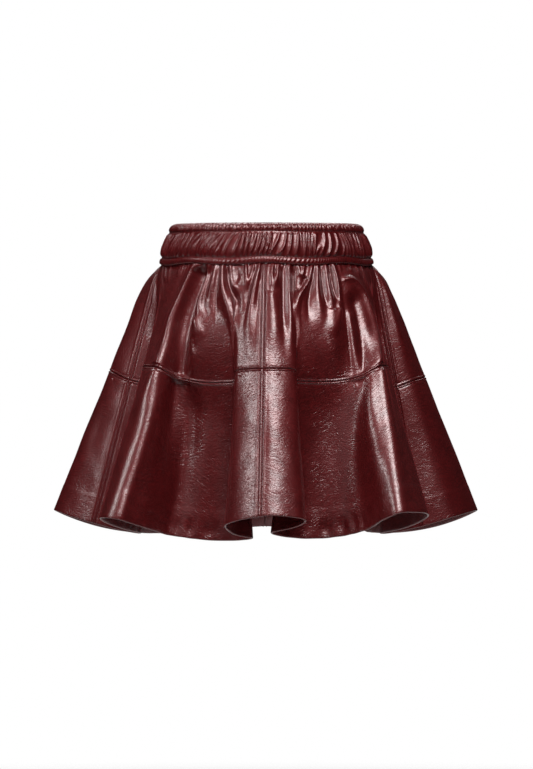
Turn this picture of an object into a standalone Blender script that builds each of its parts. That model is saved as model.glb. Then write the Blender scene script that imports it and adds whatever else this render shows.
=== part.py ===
"""Gathered leather mini skirt, worn shape: an elastic waistband over two flared tiers.

Metres, +Z up, the wearer facing -Y. The origin is the middle of the waistband, at the
height where it grips the waist. Names say left for -X and right for +X.

The skirt's wall is a loft. Every point of the cloth has a place round the garment and a
distance down from the waistband. Round the garment, the hem is a closed outline of folds
(HEM_FOLDS) and the waist is an ellipse. Down the garment, each line of cloth has the same
length, so that where a fold flares out its hem comes up, as it does on the real skirt.
"""

import math
from collections import namedtuple

import bmesh
import bpy
import numpy as np

# Driving sizes
LEATHER = 0.0012  # thickness of one layer
SEAM_GAP = 0.0003  # between neighbouring pieces
SKIRT_LENGTH = 0.3425  # cloth from the waistband's lower edge to the hem
TIER_SEAM = 0.148  # cloth from the waistband to the seam round the middle, on average
HEM_TURN = 0.036  # leather turned up inside at the hem
HEM_STEP = 0.0010  # height of the step where the turned-up leather ends

WAISTBAND_HEIGHT = 0.0518
WAIST_DEPTH_RATIO = 0.805  # front-to-back size of the waist over its width
SKIRT_TOP_HALF_WIDTH = 0.1310  # middle of the gathers, under the waistband
BAND_WAVES = 8  # slow waves of the waistband's lower edge
BAND_WAVE_HEIGHT = 0.0019

# How the cloth falls
SWELL_START = 0.06  # share of the drop in which a swelling fold rounds out
TOP_PUFF = 0.0035  # the gathers puff out just under the waistband
PUFF_RISE = 0.010
PUFF_FADE = 0.070
LEVEL_UNTIL = 0.020  # the cloth's top edge is cut level; below this it is square to itself

# Sampling
HEM_STEP_ALONG = 0.001
POINTS_PER_FOLD_SIDE = 40
FOLD_BLUR = 0.004  # evens out the bends where two sides of the outline meet
SHARE_BLUR = 0.014  # evens out how the waist's cloth is shared out along the hem
COLUMNS_PER_PANEL = 50
UPPER_ROWS = (0.0, 0.007, 0.022, 0.048, 0.090, TIER_SEAM)
LOWER_ROWS = (TIER_SEAM, 0.198, 0.252, SKIRT_LENGTH - HEM_TURN - HEM_STEP)
DROP_STEPS = 33
LENGTH_HALVINGS = 26
DERIVATIVE_STEP = 0.0004

Fold = namedtuple("Fold", "name waist x y swell tier")
# The hem's outline from above, anticlockwise from the left side seam. waist is the place
# round the waist that hangs there: 0 centre front, 0.25 right side, -0.25 left side. swell
# is how far the fold rounds out above its straight line, as a share of its flare. tier is
# the cloth from the waistband to the seam round the middle.
HEM_FOLDS = (
    Fold("left seam", -0.250, -0.216, -0.073, 0.04, 0.155),
    Fold("left inner fold", -0.228, -0.158, -0.076, 0.02, 0.153),
    Fold("left flute edge", -0.180, -0.206, -0.156, 0.00, 0.136),
    Fold("left flute crest", -0.126, -0.178, -0.172, 0.00, 0.143),
    Fold("left hollow", -0.104, -0.122, -0.146, 0.00, 0.147),
    Fold("left panel far", -0.088, -0.086, -0.130, 0.00, 0.148),
    Fold("left panel near", -0.073, -0.050, -0.125, 0.00, 0.147),
    Fold("centre left inner fold", -0.056, -0.018, -0.147, 0.00, 0.147),
    Fold("centre left wall", -0.044, -0.042, -0.188, 0.00, 0.142),
    Fold("centre flute left edge", -0.034, -0.050, -0.222, 0.00, 0.140),
    Fold("centre flute crest", 0.004, 0.004, -0.253, 0.02, 0.146),
    Fold("centre flute right edge", 0.034, 0.049, -0.236, 0.00, 0.142),
    Fold("centre right inner fold", 0.058, 0.007, -0.180, 0.00, 0.148),
    Fold("right panel near", 0.074, 0.042, -0.152, 0.00, 0.147),
    Fold("right panel far", 0.088, 0.090, -0.155, 0.00, 0.148),
    Fold("right hollow", 0.100, 0.122, -0.174, 0.00, 0.150),
    Fold("right flute left crest", 0.122, 0.147, -0.203, 0.02, 0.153),
    Fold("right flute crest", 0.142, 0.174, -0.202, 0.03, 0.147),
    Fold("right flute edge", 0.178, 0.200, -0.171, 0.00, 0.138),
    Fold("right inner fold", 0.228, 0.143, -0.078, 0.02, 0.160),
    Fold("right seam", 0.250, 0.190, -0.076, 0.04, 0.162),
    Fold("right side panel", 0.264, 0.235, -0.070, 0.09, 0.161),
    Fold("right tip", 0.279, 0.2655, -0.030, 0.125, 0.162),
    Fold("right side back", 0.304, 0.224, 0.010, 0.10, 0.156),
    Fold("right back slope", 0.340, 0.166, 0.050, 0.05, 0.150),
    Fold("right back hollow", 0.376, 0.127, 0.108, 0.02, 0.150),
    Fold("back right flute side", 0.405, 0.151, 0.168, 0.03, 0.140),
    Fold("back right flute crest", 0.434, 0.114, 0.219, 0.04, 0.145),
    Fold("back right flute inner side", 0.458, 0.064, 0.204, 0.03, 0.141),
    Fold("back right hollow", 0.478, 0.038, 0.170, 0.02, 0.147),
    Fold("centre back", 0.500, 0.000, 0.178, 0.02, 0.147),
    Fold("back left hollow", 0.517, -0.044, 0.168, 0.02, 0.148),
    Fold("back left flute inner side", 0.537, -0.072, 0.202, 0.03, 0.142),
    Fold("back left flute crest", 0.563, -0.122, 0.224, 0.04, 0.145),
    Fold("back left flute side", 0.597, -0.166, 0.166, 0.03, 0.141),
    Fold("left back hollow", 0.634, -0.131, 0.092, 0.02, 0.151),
    Fold("left back slope", 0.665, -0.176, 0.042, 0.05, 0.150),
    Fold("left side back", 0.694, -0.228, 0.004, 0.10, 0.154),
    Fold("left tip", 0.724, -0.2675, -0.030, 0.125, 0.152),
)
SEAMS = (-0.25, -0.004, 0.25, 0.5, 0.75)  # the upright seams, round the waist

Gather = namedtuple("Gather", "waist height spread reach drift")
# Ridges that the gathering makes on the front, left to right. height and spread are at the
# waist, reach is how far down the ridge runs, drift how far round the waist it slants.
FRONT_GATHERS = (
    Gather(-0.235, 0.0016, 0.0034, 0.040, 0.000),
    Gather(-0.211, 0.0023, 0.0032, 0.038, 0.004),
    Gather(-0.191, 0.0024, 0.0040, 0.026, 0.006),
    Gather(-0.163, 0.0013, 0.0045, 0.022, 0.000),
    Gather(-0.138, 0.0014, 0.0040, 0.018, 0.000),
    Gather(-0.113, 0.0027, 0.0040, 0.110, -0.006),
    Gather(-0.094, 0.0028, 0.0036, 0.105, 0.000),
    Gather(-0.081, 0.0020, 0.0030, 0.048, 0.000),
    Gather(-0.068, 0.0027, 0.0034, 0.095, 0.014),
    Gather(-0.055, 0.0018, 0.0028, 0.038, 0.012),
    Gather(-0.033, 0.0017, 0.0026, 0.030, -0.003),
    Gather(-0.021, 0.0017, 0.0026, 0.030, -0.008),
    Gather(-0.010, 0.0023, 0.0032, 0.100, -0.006),
    Gather(0.0105, 0.0022, 0.0030, 0.060, -0.003),
    Gather(0.0215, 0.0017, 0.0026, 0.028, -0.003),
    Gather(0.034, 0.0024, 0.0029, 0.120, 0.000),
    Gather(0.050, 0.0018, 0.0028, 0.020, 0.000),
    Gather(0.068, 0.0022, 0.0029, 0.075, -0.018),
    Gather(0.080, 0.0024, 0.0031, 0.080, -0.003),
    Gather(0.093, 0.0022, 0.0030, 0.080, 0.007),
    Gather(0.108, 0.0027, 0.0034, 0.095, 0.006),
    Gather(0.129, 0.0012, 0.0042, 0.022, 0.000),
    Gather(0.150, 0.0025, 0.0042, 0.110, 0.000),
    Gather(0.172, 0.0015, 0.0034, 0.030, 0.000),
    Gather(0.190, 0.0018, 0.0034, 0.035, 0.000),
    Gather(0.209, 0.0022, 0.0034, 0.060, 0.000),
    Gather(0.231, 0.0016, 0.0034, 0.040, 0.000),
)
GATHER_SINK = 0.0011  # the cloth between the ridges lies this far in
BACK_GATHER_SHIFT = 0.0055  # the back's ridges stand a little off the front's mirror image

BandLevel = namedtuple("BandLevel", "height half_width gather_depth")
# The waistband's outer face from its lower edge up, over the elastic to the rolled top.
BAND_OUTSIDE = (
    BandLevel(0.0000, 0.1347, 0.0004),
    BandLevel(0.0042, 0.1346, 0.0006),
    BandLevel(0.0088, 0.1315, 0.0004),
    BandLevel(0.0145, 0.1327, 0.0014),
    BandLevel(0.0260, 0.1303, 0.0018),
    BandLevel(0.0360, 0.1262, 0.0014),
    BandLevel(0.0408, 0.1224, 0.0004),
    BandLevel(0.0458, 0.1217, 0.0008),
    BandLevel(0.0502, 0.1170, 0.0006),
    BandLevel(0.0518, 0.1118, 0.0003),
)
# Its inner face, from the top down, plain.
BAND_INSIDE = (
    BandLevel(0.0490, 0.1106, 0.0),
    BandLevel(0.0420, 0.1176, 0.0),
    BandLevel(0.0260, 0.1258, 0.0),
    BandLevel(0.0000, 0.1302, 0.0),
)
BAND_GATHERS = 54
BAND_COLUMNS_PER_GATHER = 3
BAND_GATHER_WANDER = 0.35  # in gathers: how unevenly they are spaced

OXBLOOD = (0.125, 0.011, 0.013, 1.0)
OXBLOOD_DARK = (0.105, 0.009, 0.011, 1.0)
LEATHER_ROUGHNESS = 0.28


def clear_scene():
    for obj in list(bpy.data.objects):
        bpy.data.objects.remove(obj, do_unlink=True)


def leather(name, color):
    material = bpy.data.materials.new(name)
    material.use_nodes = True
    shader = material.node_tree.nodes["Principled BSDF"]
    shader.inputs["Base Color"].default_value = color
    shader.inputs["Roughness"].default_value = LEATHER_ROUGHNESS
    shader.inputs["Metallic"].default_value = 0.0
    return material


def smoothstep(x):
    x = np.clip(x, 0.0, 1.0)
    return x * x * (3 - 2 * x)


def band_wave(waist):
    """Height of the waistband's wavy lower edge above its mean, round the waist."""
    return BAND_WAVE_HEIGHT * np.cos(2 * math.pi * BAND_WAVES * waist)


def ellipse(waist, half_width):
    """Point and outward direction on a waist ellipse, seen from above."""
    angle = 2 * math.pi * waist
    half_depth = half_width * WAIST_DEPTH_RATIO
    point = np.stack([half_width * np.sin(angle), -half_depth * np.cos(angle)], -1)
    out = np.stack([half_depth * np.sin(angle), -half_width * np.cos(angle)], -1)
    return point, out / np.linalg.norm(out, axis=-1, keepdims=True)


def fold_side(before, start, end, after, count):
    """Points on the centripetal Catmull-Rom curve from start up to end."""
    corners = (before, start, end, after)
    knots = np.cumsum([0.0] + [math.dist(a, b) ** 0.5 for a, b in zip(corners, corners[1:])])
    at = np.linspace(knots[1], knots[2], count, endpoint=False)[:, None]

    def blend(first, last, low, high):
        share = (at - knots[low]) / (knots[high] - knots[low])
        return first * (1 - share) + last * share

    near = blend(before, start, 0, 1)
    middle = blend(start, end, 1, 2)
    far = blend(end, after, 2, 3)
    return blend(blend(near, middle, 0, 2), blend(middle, far, 1, 3), 1, 2)


class HemOutline:
    """The hem's closed outline with rounded folds, by distance along the hem."""

    def __init__(self):
        folds = len(HEM_FOLDS)
        corners = [np.array([f.x, f.y]) for f in HEM_FOLDS]
        sides = [
            fold_side(
                corners[k - 1], corners[k], corners[(k + 1) % folds], corners[(k + 2) % folds],
                POINTS_PER_FOLD_SIDE,
            )
            for k in range(folds)
        ]
        path = np.vstack(sides + [corners[0]])
        passed = np.cumsum(np.linalg.norm(np.diff(path, axis=0), axis=1))
        passed = np.concatenate([[0.0], passed])
        corner_at = passed[::POINTS_PER_FOLD_SIDE]
        self.length = passed[-1]
        count = int(round(self.length / HEM_STEP_ALONG))
        self.at = np.arange(count) * self.length / count
        turn = self.at / self.length
        waist = [f.waist for f in HEM_FOLDS] + [HEM_FOLDS[0].waist + 1]
        swell = [f.swell for f in HEM_FOLDS] + [HEM_FOLDS[0].swell]
        tier = [f.tier for f in HEM_FOLDS] + [HEM_FOLDS[0].tier]
        self.table = np.array([
            self.blurred(np.interp(self.at, passed, path[:, 0]), FOLD_BLUR),
            self.blurred(np.interp(self.at, passed, path[:, 1]), FOLD_BLUR),
            self.blurred(np.interp(self.at, corner_at, waist) - turn, SHARE_BLUR) + turn,
            self.blurred(np.interp(self.at, corner_at, swell), SHARE_BLUR),
            self.blurred(np.interp(self.at, corner_at, tier), SHARE_BLUR),
        ])

    def blurred(self, row, spread):
        """The row evened out along the hem by a bell curve of this spread."""
        waves = np.fft.rfftfreq(len(row), self.length / len(row))
        blur = np.exp(-2 * (math.pi * spread * waves) ** 2)
        return np.fft.irfft(np.fft.rfft(row) * blur, len(row))

    def read(self, along):
        """(x, y, waist, swell, tier) at distances along the hem, even past its start."""
        turns = np.floor(along / self.length)
        inside = along - turns * self.length
        at = np.append(self.at, self.length)
        closing = self.table[:, 0] + np.array([0.0, 0.0, 1.0, 0.0, 0.0])
        table = np.column_stack([self.table, closing])
        x, y, waist, swell, tier = (np.interp(inside, at, row) for row in table)
        return x, y, waist + turns, swell, tier

    def place_of(self, waist):
        """Distance along the hem of the cloth that hangs from this place of the waist."""
        turns = math.floor((waist - self.table[2, 0]))
        inside = waist - turns
        at = np.append(self.at, self.length)
        row = np.append(self.table[2], self.table[2, 0] + 1)
        return float(np.interp(inside, row, at)) + turns * self.length

    def columns(self, start, end, count):
        """Places along the hem, closer together at bends and where the waist is full."""
        fine = np.linspace(start, end, 2000)
        x, y, waist, _, _ = self.read(fine)
        heading = np.unwrap(np.arctan2(np.gradient(y), np.gradient(x)))
        crowding = (
            0.62 * np.abs(np.gradient(waist)) / abs(waist[-1] - waist[0])
            + 0.20 * np.abs(np.gradient(heading)) / np.abs(np.gradient(heading)).sum()
            + 0.18 / len(fine)
        )
        passed = np.concatenate([[0.0], np.cumsum((crowding[1:] + crowding[:-1]) / 2)])
        return np.interp(np.linspace(0, passed[-1], count + 1), passed, fine)


def all_gathers():
    """The front's ridges, and the back's as their mirror image with uneven reach."""
    gathers = list(FRONT_GATHERS)
    for number, front in enumerate(FRONT_GATHERS):
        shift = BACK_GATHER_SHIFT * math.sin(2.1 * number)
        reach = front.reach * (0.85 + 0.3 * math.sin(1.7 * number + 0.6) ** 2)
        waist = 0.5 - front.waist + shift
        gathers.append(Gather(waist, front.height, front.spread, reach, -front.drift))
    return gathers


class SkirtCloth:
    """The outer face of the skirt below the waistband."""

    def __init__(self, hem):
        self.hem = hem
        self.gathers = all_gathers()
        self.top = -WAISTBAND_HEIGHT / 2 - SEAM_GAP

    def drop_of(self, spread, swell):
        """How far each line of cloth drops, so that all of them have the same length."""
        step = np.linspace(0, 1, DROP_STEPS)
        out = self.flare(step[:, None], swell) * spread
        run = np.diff(out, axis=0)
        low, high = np.zeros_like(spread), np.full_like(spread, SKIRT_LENGTH)
        for _ in range(LENGTH_HALVINGS):
            middle = (low + high) / 2
            length = np.sqrt(run**2 + (middle / (DROP_STEPS - 1)) ** 2).sum(0)
            low = np.where(length < SKIRT_LENGTH, middle, low)
            high = np.where(length < SKIRT_LENGTH, high, middle)
        lengths = np.sqrt(run**2 + (middle / (DROP_STEPS - 1)) ** 2)
        passed = np.vstack([np.zeros_like(spread), np.cumsum(lengths, axis=0)])
        return middle, step, passed

    @staticmethod
    def flare(share, swell):
        """Share of the way out to the hem, at a share of the drop."""
        return share + swell * (1 - share) * (1 - np.exp(-share / SWELL_START))

    def ridges(self, waist, down):
        """Height of the gathering's ridges over the plain cloth."""
        round_waist = 2 * math.pi * SKIRT_TOP_HALF_WIDTH * (1 + WAIST_DEPTH_RATIO) / 2
        height = np.zeros(np.broadcast(waist, down).shape)
        for g in self.gathers:
            middle = g.waist + g.drift * smoothstep(down / g.reach)
            off = (waist - middle + 0.5) % 1.0 - 0.5
            widening = 1 + 1.2 * np.clip(down / g.reach, 0, 1)
            shape = np.exp(-((off * round_waist / (g.spread * widening)) ** 2))
            height += g.height * shape * (1 - smoothstep(down / g.reach))
        sink = GATHER_SINK * np.exp(-down / PUFF_FADE)
        return height - sink

    def plain(self, along, down):
        """Points of the cloth without its ridges."""
        x, y, waist, swell, tier = self.hem.read(along)
        top, out = ellipse(waist, SKIRT_TOP_HALF_WIDTH)
        reach = np.stack([x, y], -1) - top
        spread = np.linalg.norm(reach, axis=-1)
        drop, step, passed = self.drop_of(spread, swell)
        below = (SKIRT_LENGTH - down) / (SKIRT_LENGTH - TIER_SEAM)
        toward_tier = np.minimum(down / TIER_SEAM, below)
        cloth = down[:, None] + toward_tier[:, None] * (tier - TIER_SEAM)
        share = np.stack(
            [np.interp(cloth[:, k], passed[:, k], step) for k in range(len(spread))], -1
        )
        flare = self.flare(share, swell)[..., None]
        puff = TOP_PUFF * (1 - np.exp(-down / PUFF_RISE)) * np.exp(-down / PUFF_FADE)
        plan = top + reach * flare + out * puff[:, None, None]
        height = self.top + band_wave(waist) - drop * share
        return np.concatenate([plan, height[..., None]], -1), waist

    @staticmethod
    def directions(points_at, down):
        """Unit directions along and out of a surface. Out is level at the waistband."""
        step = DERIVATIVE_STEP
        along = points_at(step, 0) - points_at(-step, 0)
        out = np.cross(points_at(0, step) - points_at(0, -step), along)
        out /= np.linalg.norm(out, axis=-1, keepdims=True)
        out[..., 2] *= smoothstep(down / LEVEL_UNTIL)[:, None]
        along /= np.linalg.norm(along, axis=-1, keepdims=True)
        return along, out / np.linalg.norm(out, axis=-1, keepdims=True)

    def ridged(self, along, down):
        points, waist = self.plain(along, down)
        _, out = self.directions(lambda a, d: self.plain(along + a, down + d)[0], down)
        return points + out * self.ridges(waist, down[:, None])[..., None]

    def face(self, along, down):
        """Points of the outer face, with the directions along the cloth and out of it."""
        along_way, out = self.directions(lambda a, d: self.ridged(along + a, down + d), down)
        return self.ridged(along, down), along_way, out


def wall(name, outer, inner, material, collection):
    """A closed wall between two grids of points, rows from the top, columns leftwards."""
    mesh = bpy.data.meshes.new(name)
    bm = bmesh.new()
    out = [[bm.verts.new(p) for p in row] for row in outer]
    ins = [[bm.verts.new(p) for p in row] for row in inner]
    rows, columns = len(out), len(out[0])
    for i in range(rows - 1):
        for j in range(columns - 1):
            bm.faces.new((out[i][j], out[i + 1][j], out[i + 1][j + 1], out[i][j + 1]))
            bm.faces.new((ins[i][j], ins[i][j + 1], ins[i + 1][j + 1], ins[i + 1][j]))
    for j in range(columns - 1):
        bm.faces.new((out[0][j], out[0][j + 1], ins[0][j + 1], ins[0][j]))
        bm.faces.new((out[-1][j + 1], out[-1][j], ins[-1][j], ins[-1][j + 1]))
    for i in range(rows - 1):
        bm.faces.new((out[i + 1][0], out[i][0], ins[i][0], ins[i + 1][0]))
        bm.faces.new((out[i][-1], out[i + 1][-1], ins[i + 1][-1], ins[i][-1]))
    bm.to_mesh(mesh)
    bm.free()
    return placed(name, mesh, material, collection)


def placed(name, mesh, material, collection):
    mesh.materials.append(material)
    mesh.shade_smooth()
    mesh.set_sharp_from_angle(angle=math.radians(50))
    obj = bpy.data.objects.new(name, mesh)
    collection.objects.link(obj)
    return obj


def panel(name, cloth, start, end, rows, thickness, material, collection):
    """One cut piece of the skirt between two upright seams and two levels."""
    along = cloth.hem.columns(
        cloth.hem.place_of(start), cloth.hem.place_of(end), COLUMNS_PER_PANEL
    )
    face, along_way, out = cloth.face(along, np.array(rows))
    inner = face - out * np.array(thickness)[:, None, None]
    for grid in (face, inner):
        grid[:, 0] += along_way[:, 0] * SEAM_GAP / 2
        grid[:, -1] -= along_way[:, -1] * SEAM_GAP / 2
    return wall(name, face, inner, material, collection)


def skirt(collection):
    cloth = SkirtCloth(HemOutline())
    upper_leather = leather("upper_leather", OXBLOOD)
    lower_leather = leather("lower_leather", OXBLOOD)
    seam_half = SEAM_GAP / 2
    upper_rows = UPPER_ROWS[:-1] + (TIER_SEAM - seam_half,)
    lower_rows = (TIER_SEAM + seam_half,) + LOWER_ROWS[1:]
    lower_rows += (SKIRT_LENGTH - HEM_TURN, SKIRT_LENGTH)
    single = [LEATHER] * len(UPPER_ROWS)
    hemmed = [LEATHER] * len(LOWER_ROWS) + [2 * LEATHER] * 2
    names = ("front_left", "front_right", "back_right", "back_left")
    for name, start, end in zip(names, SEAMS, SEAMS[1:]):
        panel(f"upper_{name}", cloth, start, end, upper_rows, single, upper_leather, collection)
        panel(f"lower_{name}", cloth, start, end, lower_rows, hemmed, lower_leather, collection)


def band_phase(waist):
    """Gathers passed on the way round the waistband, unevenly spaced."""
    wander = np.sin(2 * math.pi * 5 * waist) + 0.7 * np.sin(2 * math.pi * 13 * waist + 1.0)
    return BAND_GATHERS * waist + BAND_GATHER_WANDER * wander


def waistband(collection):
    """The elastic casing: a gathered strip sewn into a ring at the centre back."""
    fine = np.linspace(-0.5, 0.5, 4000)
    phase = band_phase(fine)
    stops = np.linspace(phase[0], phase[-1], BAND_GATHERS * BAND_COLUMNS_PER_GATHER + 1)
    waist = np.interp(stops, phase, fine)
    gather = np.cos(2 * math.pi * stops)
    loops = []
    for level in BAND_OUTSIDE + BAND_INSIDE:
        point, out = ellipse(waist, level.half_width)
        plan = point + out * (gather * level.gather_depth)[:, None]
        lower_share = 1 - level.height / WAISTBAND_HEIGHT
        height = level.height - WAISTBAND_HEIGHT / 2 + band_wave(waist) * lower_share
        loops.append(np.column_stack([plan, height]))
    loops = np.array(loops)
    loops[:, 0, 0] -= SEAM_GAP / 2
    loops[:, -1, 0] += SEAM_GAP / 2
    mesh = bpy.data.meshes.new("waistband")
    bm = bmesh.new()
    verts = [[bm.verts.new(p) for p in loop] for loop in loops]
    count, columns = len(verts), len(verts[0])
    for k in range(count):
        low, high = verts[k], verts[(k + 1) % count]
        for j in range(columns - 1):
            bm.faces.new((high[j], low[j], low[j + 1], high[j + 1]))
    bm.faces.new([verts[k][0] for k in range(count)])
    bm.faces.new([verts[k][-1] for k in reversed(range(count))])
    bm.to_mesh(mesh)
    bm.free()
    return placed("waistband", mesh, leather("band_leather", OXBLOOD_DARK), collection)


def main():
    clear_scene()
    collection = bpy.data.collections.new("leather_skirt")
    bpy.context.scene.collection.children.link(collection)
    waistband(collection)
    skirt(collection)


if __name__ == "__main__":
    main()
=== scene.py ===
"""Gathered leather mini skirt: the finished look round its solid model.

The cloth is lofted from the same hem outline and waist as the solids, on a finer net, with
its gathers, creases, seams and topstitching. Metres, +Z up, the wearer facing -Y.
"""

import math
from collections import namedtuple

import bmesh
import bpy
import numpy as np
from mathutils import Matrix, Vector, noise


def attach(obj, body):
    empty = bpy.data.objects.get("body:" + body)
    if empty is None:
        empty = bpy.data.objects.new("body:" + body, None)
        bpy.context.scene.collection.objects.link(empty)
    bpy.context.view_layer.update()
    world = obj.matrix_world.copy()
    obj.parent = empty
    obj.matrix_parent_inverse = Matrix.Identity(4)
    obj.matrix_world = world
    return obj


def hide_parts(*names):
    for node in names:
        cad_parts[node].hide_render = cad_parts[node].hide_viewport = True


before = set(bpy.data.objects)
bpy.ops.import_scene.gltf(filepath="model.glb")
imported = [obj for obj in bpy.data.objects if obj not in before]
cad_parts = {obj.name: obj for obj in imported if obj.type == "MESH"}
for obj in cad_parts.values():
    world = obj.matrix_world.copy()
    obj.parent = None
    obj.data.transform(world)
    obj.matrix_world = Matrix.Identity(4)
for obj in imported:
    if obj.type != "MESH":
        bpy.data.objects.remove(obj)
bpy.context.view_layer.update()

bl_info = {
    "name": "Gathered leather skirt",
    "version": (1, 0, 0),
    "blender": (4, 5, 0),
    "location": "View3D > Sidebar > Skirt",
    "description": "Builds a worn-shape leather skirt with an elastic waistband and two tiers",
    "category": "Add Mesh",
}

# ---------------------------------------------------------------------------- the cut

SEAM_GAP = 0.0003
TIER_SEAM = 0.148  # cloth from the waistband to the seam round the middle, on average
WAIST_DEPTH_RATIO = 0.805
SKIRT_TOP_HALF_WIDTH = 0.1310
BAND_WAVES = 8
BAND_WAVE_HEIGHT = 0.0012
SWELL_START = 0.06
TOP_PUFF = 0.0035
PUFF_RISE = 0.010
PUFF_FADE = 0.070
SEAMS = (-0.25, -0.004, 0.25, 0.5, 0.75)  # the upright seams, round the waist
PUCKERED = (-0.086, 0.086, -0.222, 0.492, 0.380, 0.640)  # where the hem draws up, as SEAMS
PANELS = ("front_left", "front_right", "back_right", "back_left")

Fold = namedtuple("Fold", "name waist x y swell tier")
# The hem's outline from above, anticlockwise from the left side seam, as the solids have it.
# waist is the place round the waist that hangs there, in thousandths of a turn: 0 is the
# centre front, 250 the right side. x, y and tier are in millimetres, swell in thousandths.
HEM_FOLDS = [Fold(name, *(v / 1000 for v in row)) for name, *row in (
    ("left seam", -250, -216, -73, 40, 155),
    ("left inner fold", -228, -158, -76, 20, 153),
    ("left flute edge", -180, -206, -156, 0, 136),
    ("left flute crest", -126, -178, -172, 0, 143),
    ("left hollow", -104, -122, -146, 0, 147),
    ("left panel far", -88, -86, -130, 0, 148),
    ("left panel near", -73, -50, -125, 0, 147),
    ("centre left inner fold", -56, -18, -147, 0, 147),
    ("centre left wall", -44, -42, -188, 0, 142),
    ("centre flute left edge", -34, -50, -222, 0, 140),
    ("centre flute crest", 4, 4, -253, 20, 146),
    ("centre flute right edge", 34, 49, -236, 0, 142),
    ("centre right inner fold", 58, 7, -180, 0, 148),
    ("right panel near", 74, 42, -152, 0, 147),
    ("right panel far", 88, 90, -155, 0, 148),
    ("right hollow", 100, 122, -174, 0, 150),
    ("right flute left crest", 122, 147, -203, 20, 153),
    ("right flute crest", 142, 174, -202, 30, 147),
    ("right flute edge", 178, 200, -171, 0, 138),
    ("right inner fold", 228, 143, -78, 20, 160),
    ("right seam", 250, 190, -76, 40, 162),
    ("right side panel", 264, 235, -70, 90, 161),
    ("right tip", 279, 265.5, -30, 125, 162),
    ("right side back", 304, 224, 10, 100, 156),
    ("right back slope", 340, 166, 50, 50, 150),
    ("right back hollow", 376, 127, 108, 20, 150),
    ("back right flute side", 405, 151, 168, 30, 140),
    ("back right flute crest", 434, 114, 219, 40, 145),
    ("back right flute inner side", 458, 64, 204, 30, 141),
    ("back right hollow", 478, 38, 170, 20, 147),
    ("centre back", 500, 0, 178, 20, 147),
    ("back left hollow", 517, -44, 168, 20, 148),
    ("back left flute inner side", 537, -72, 202, 30, 142),
    ("back left flute crest", 563, -122, 224, 40, 145),
    ("back left flute side", 597, -166, 166, 30, 141),
    ("left back hollow", 634, -131, 92, 20, 151),
    ("left back slope", 665, -176, 42, 50, 150),
    ("left side back", 694, -228, 4, 100, 154),
    ("left tip", 724, -267.5, -30, 125, 152),
)]

# ------------------------------------------------------------------- gathers and creases

Crease = namedtuple("Crease", "height start_width end_width path")


def creases(table):
    """Creases from rows of height, start width and end width, then the path's points."""
    return tuple(
        Crease(height, start, end, [(place / 1000, down) for place, down in path])
        for height, start, end, *path in table
    )


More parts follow.
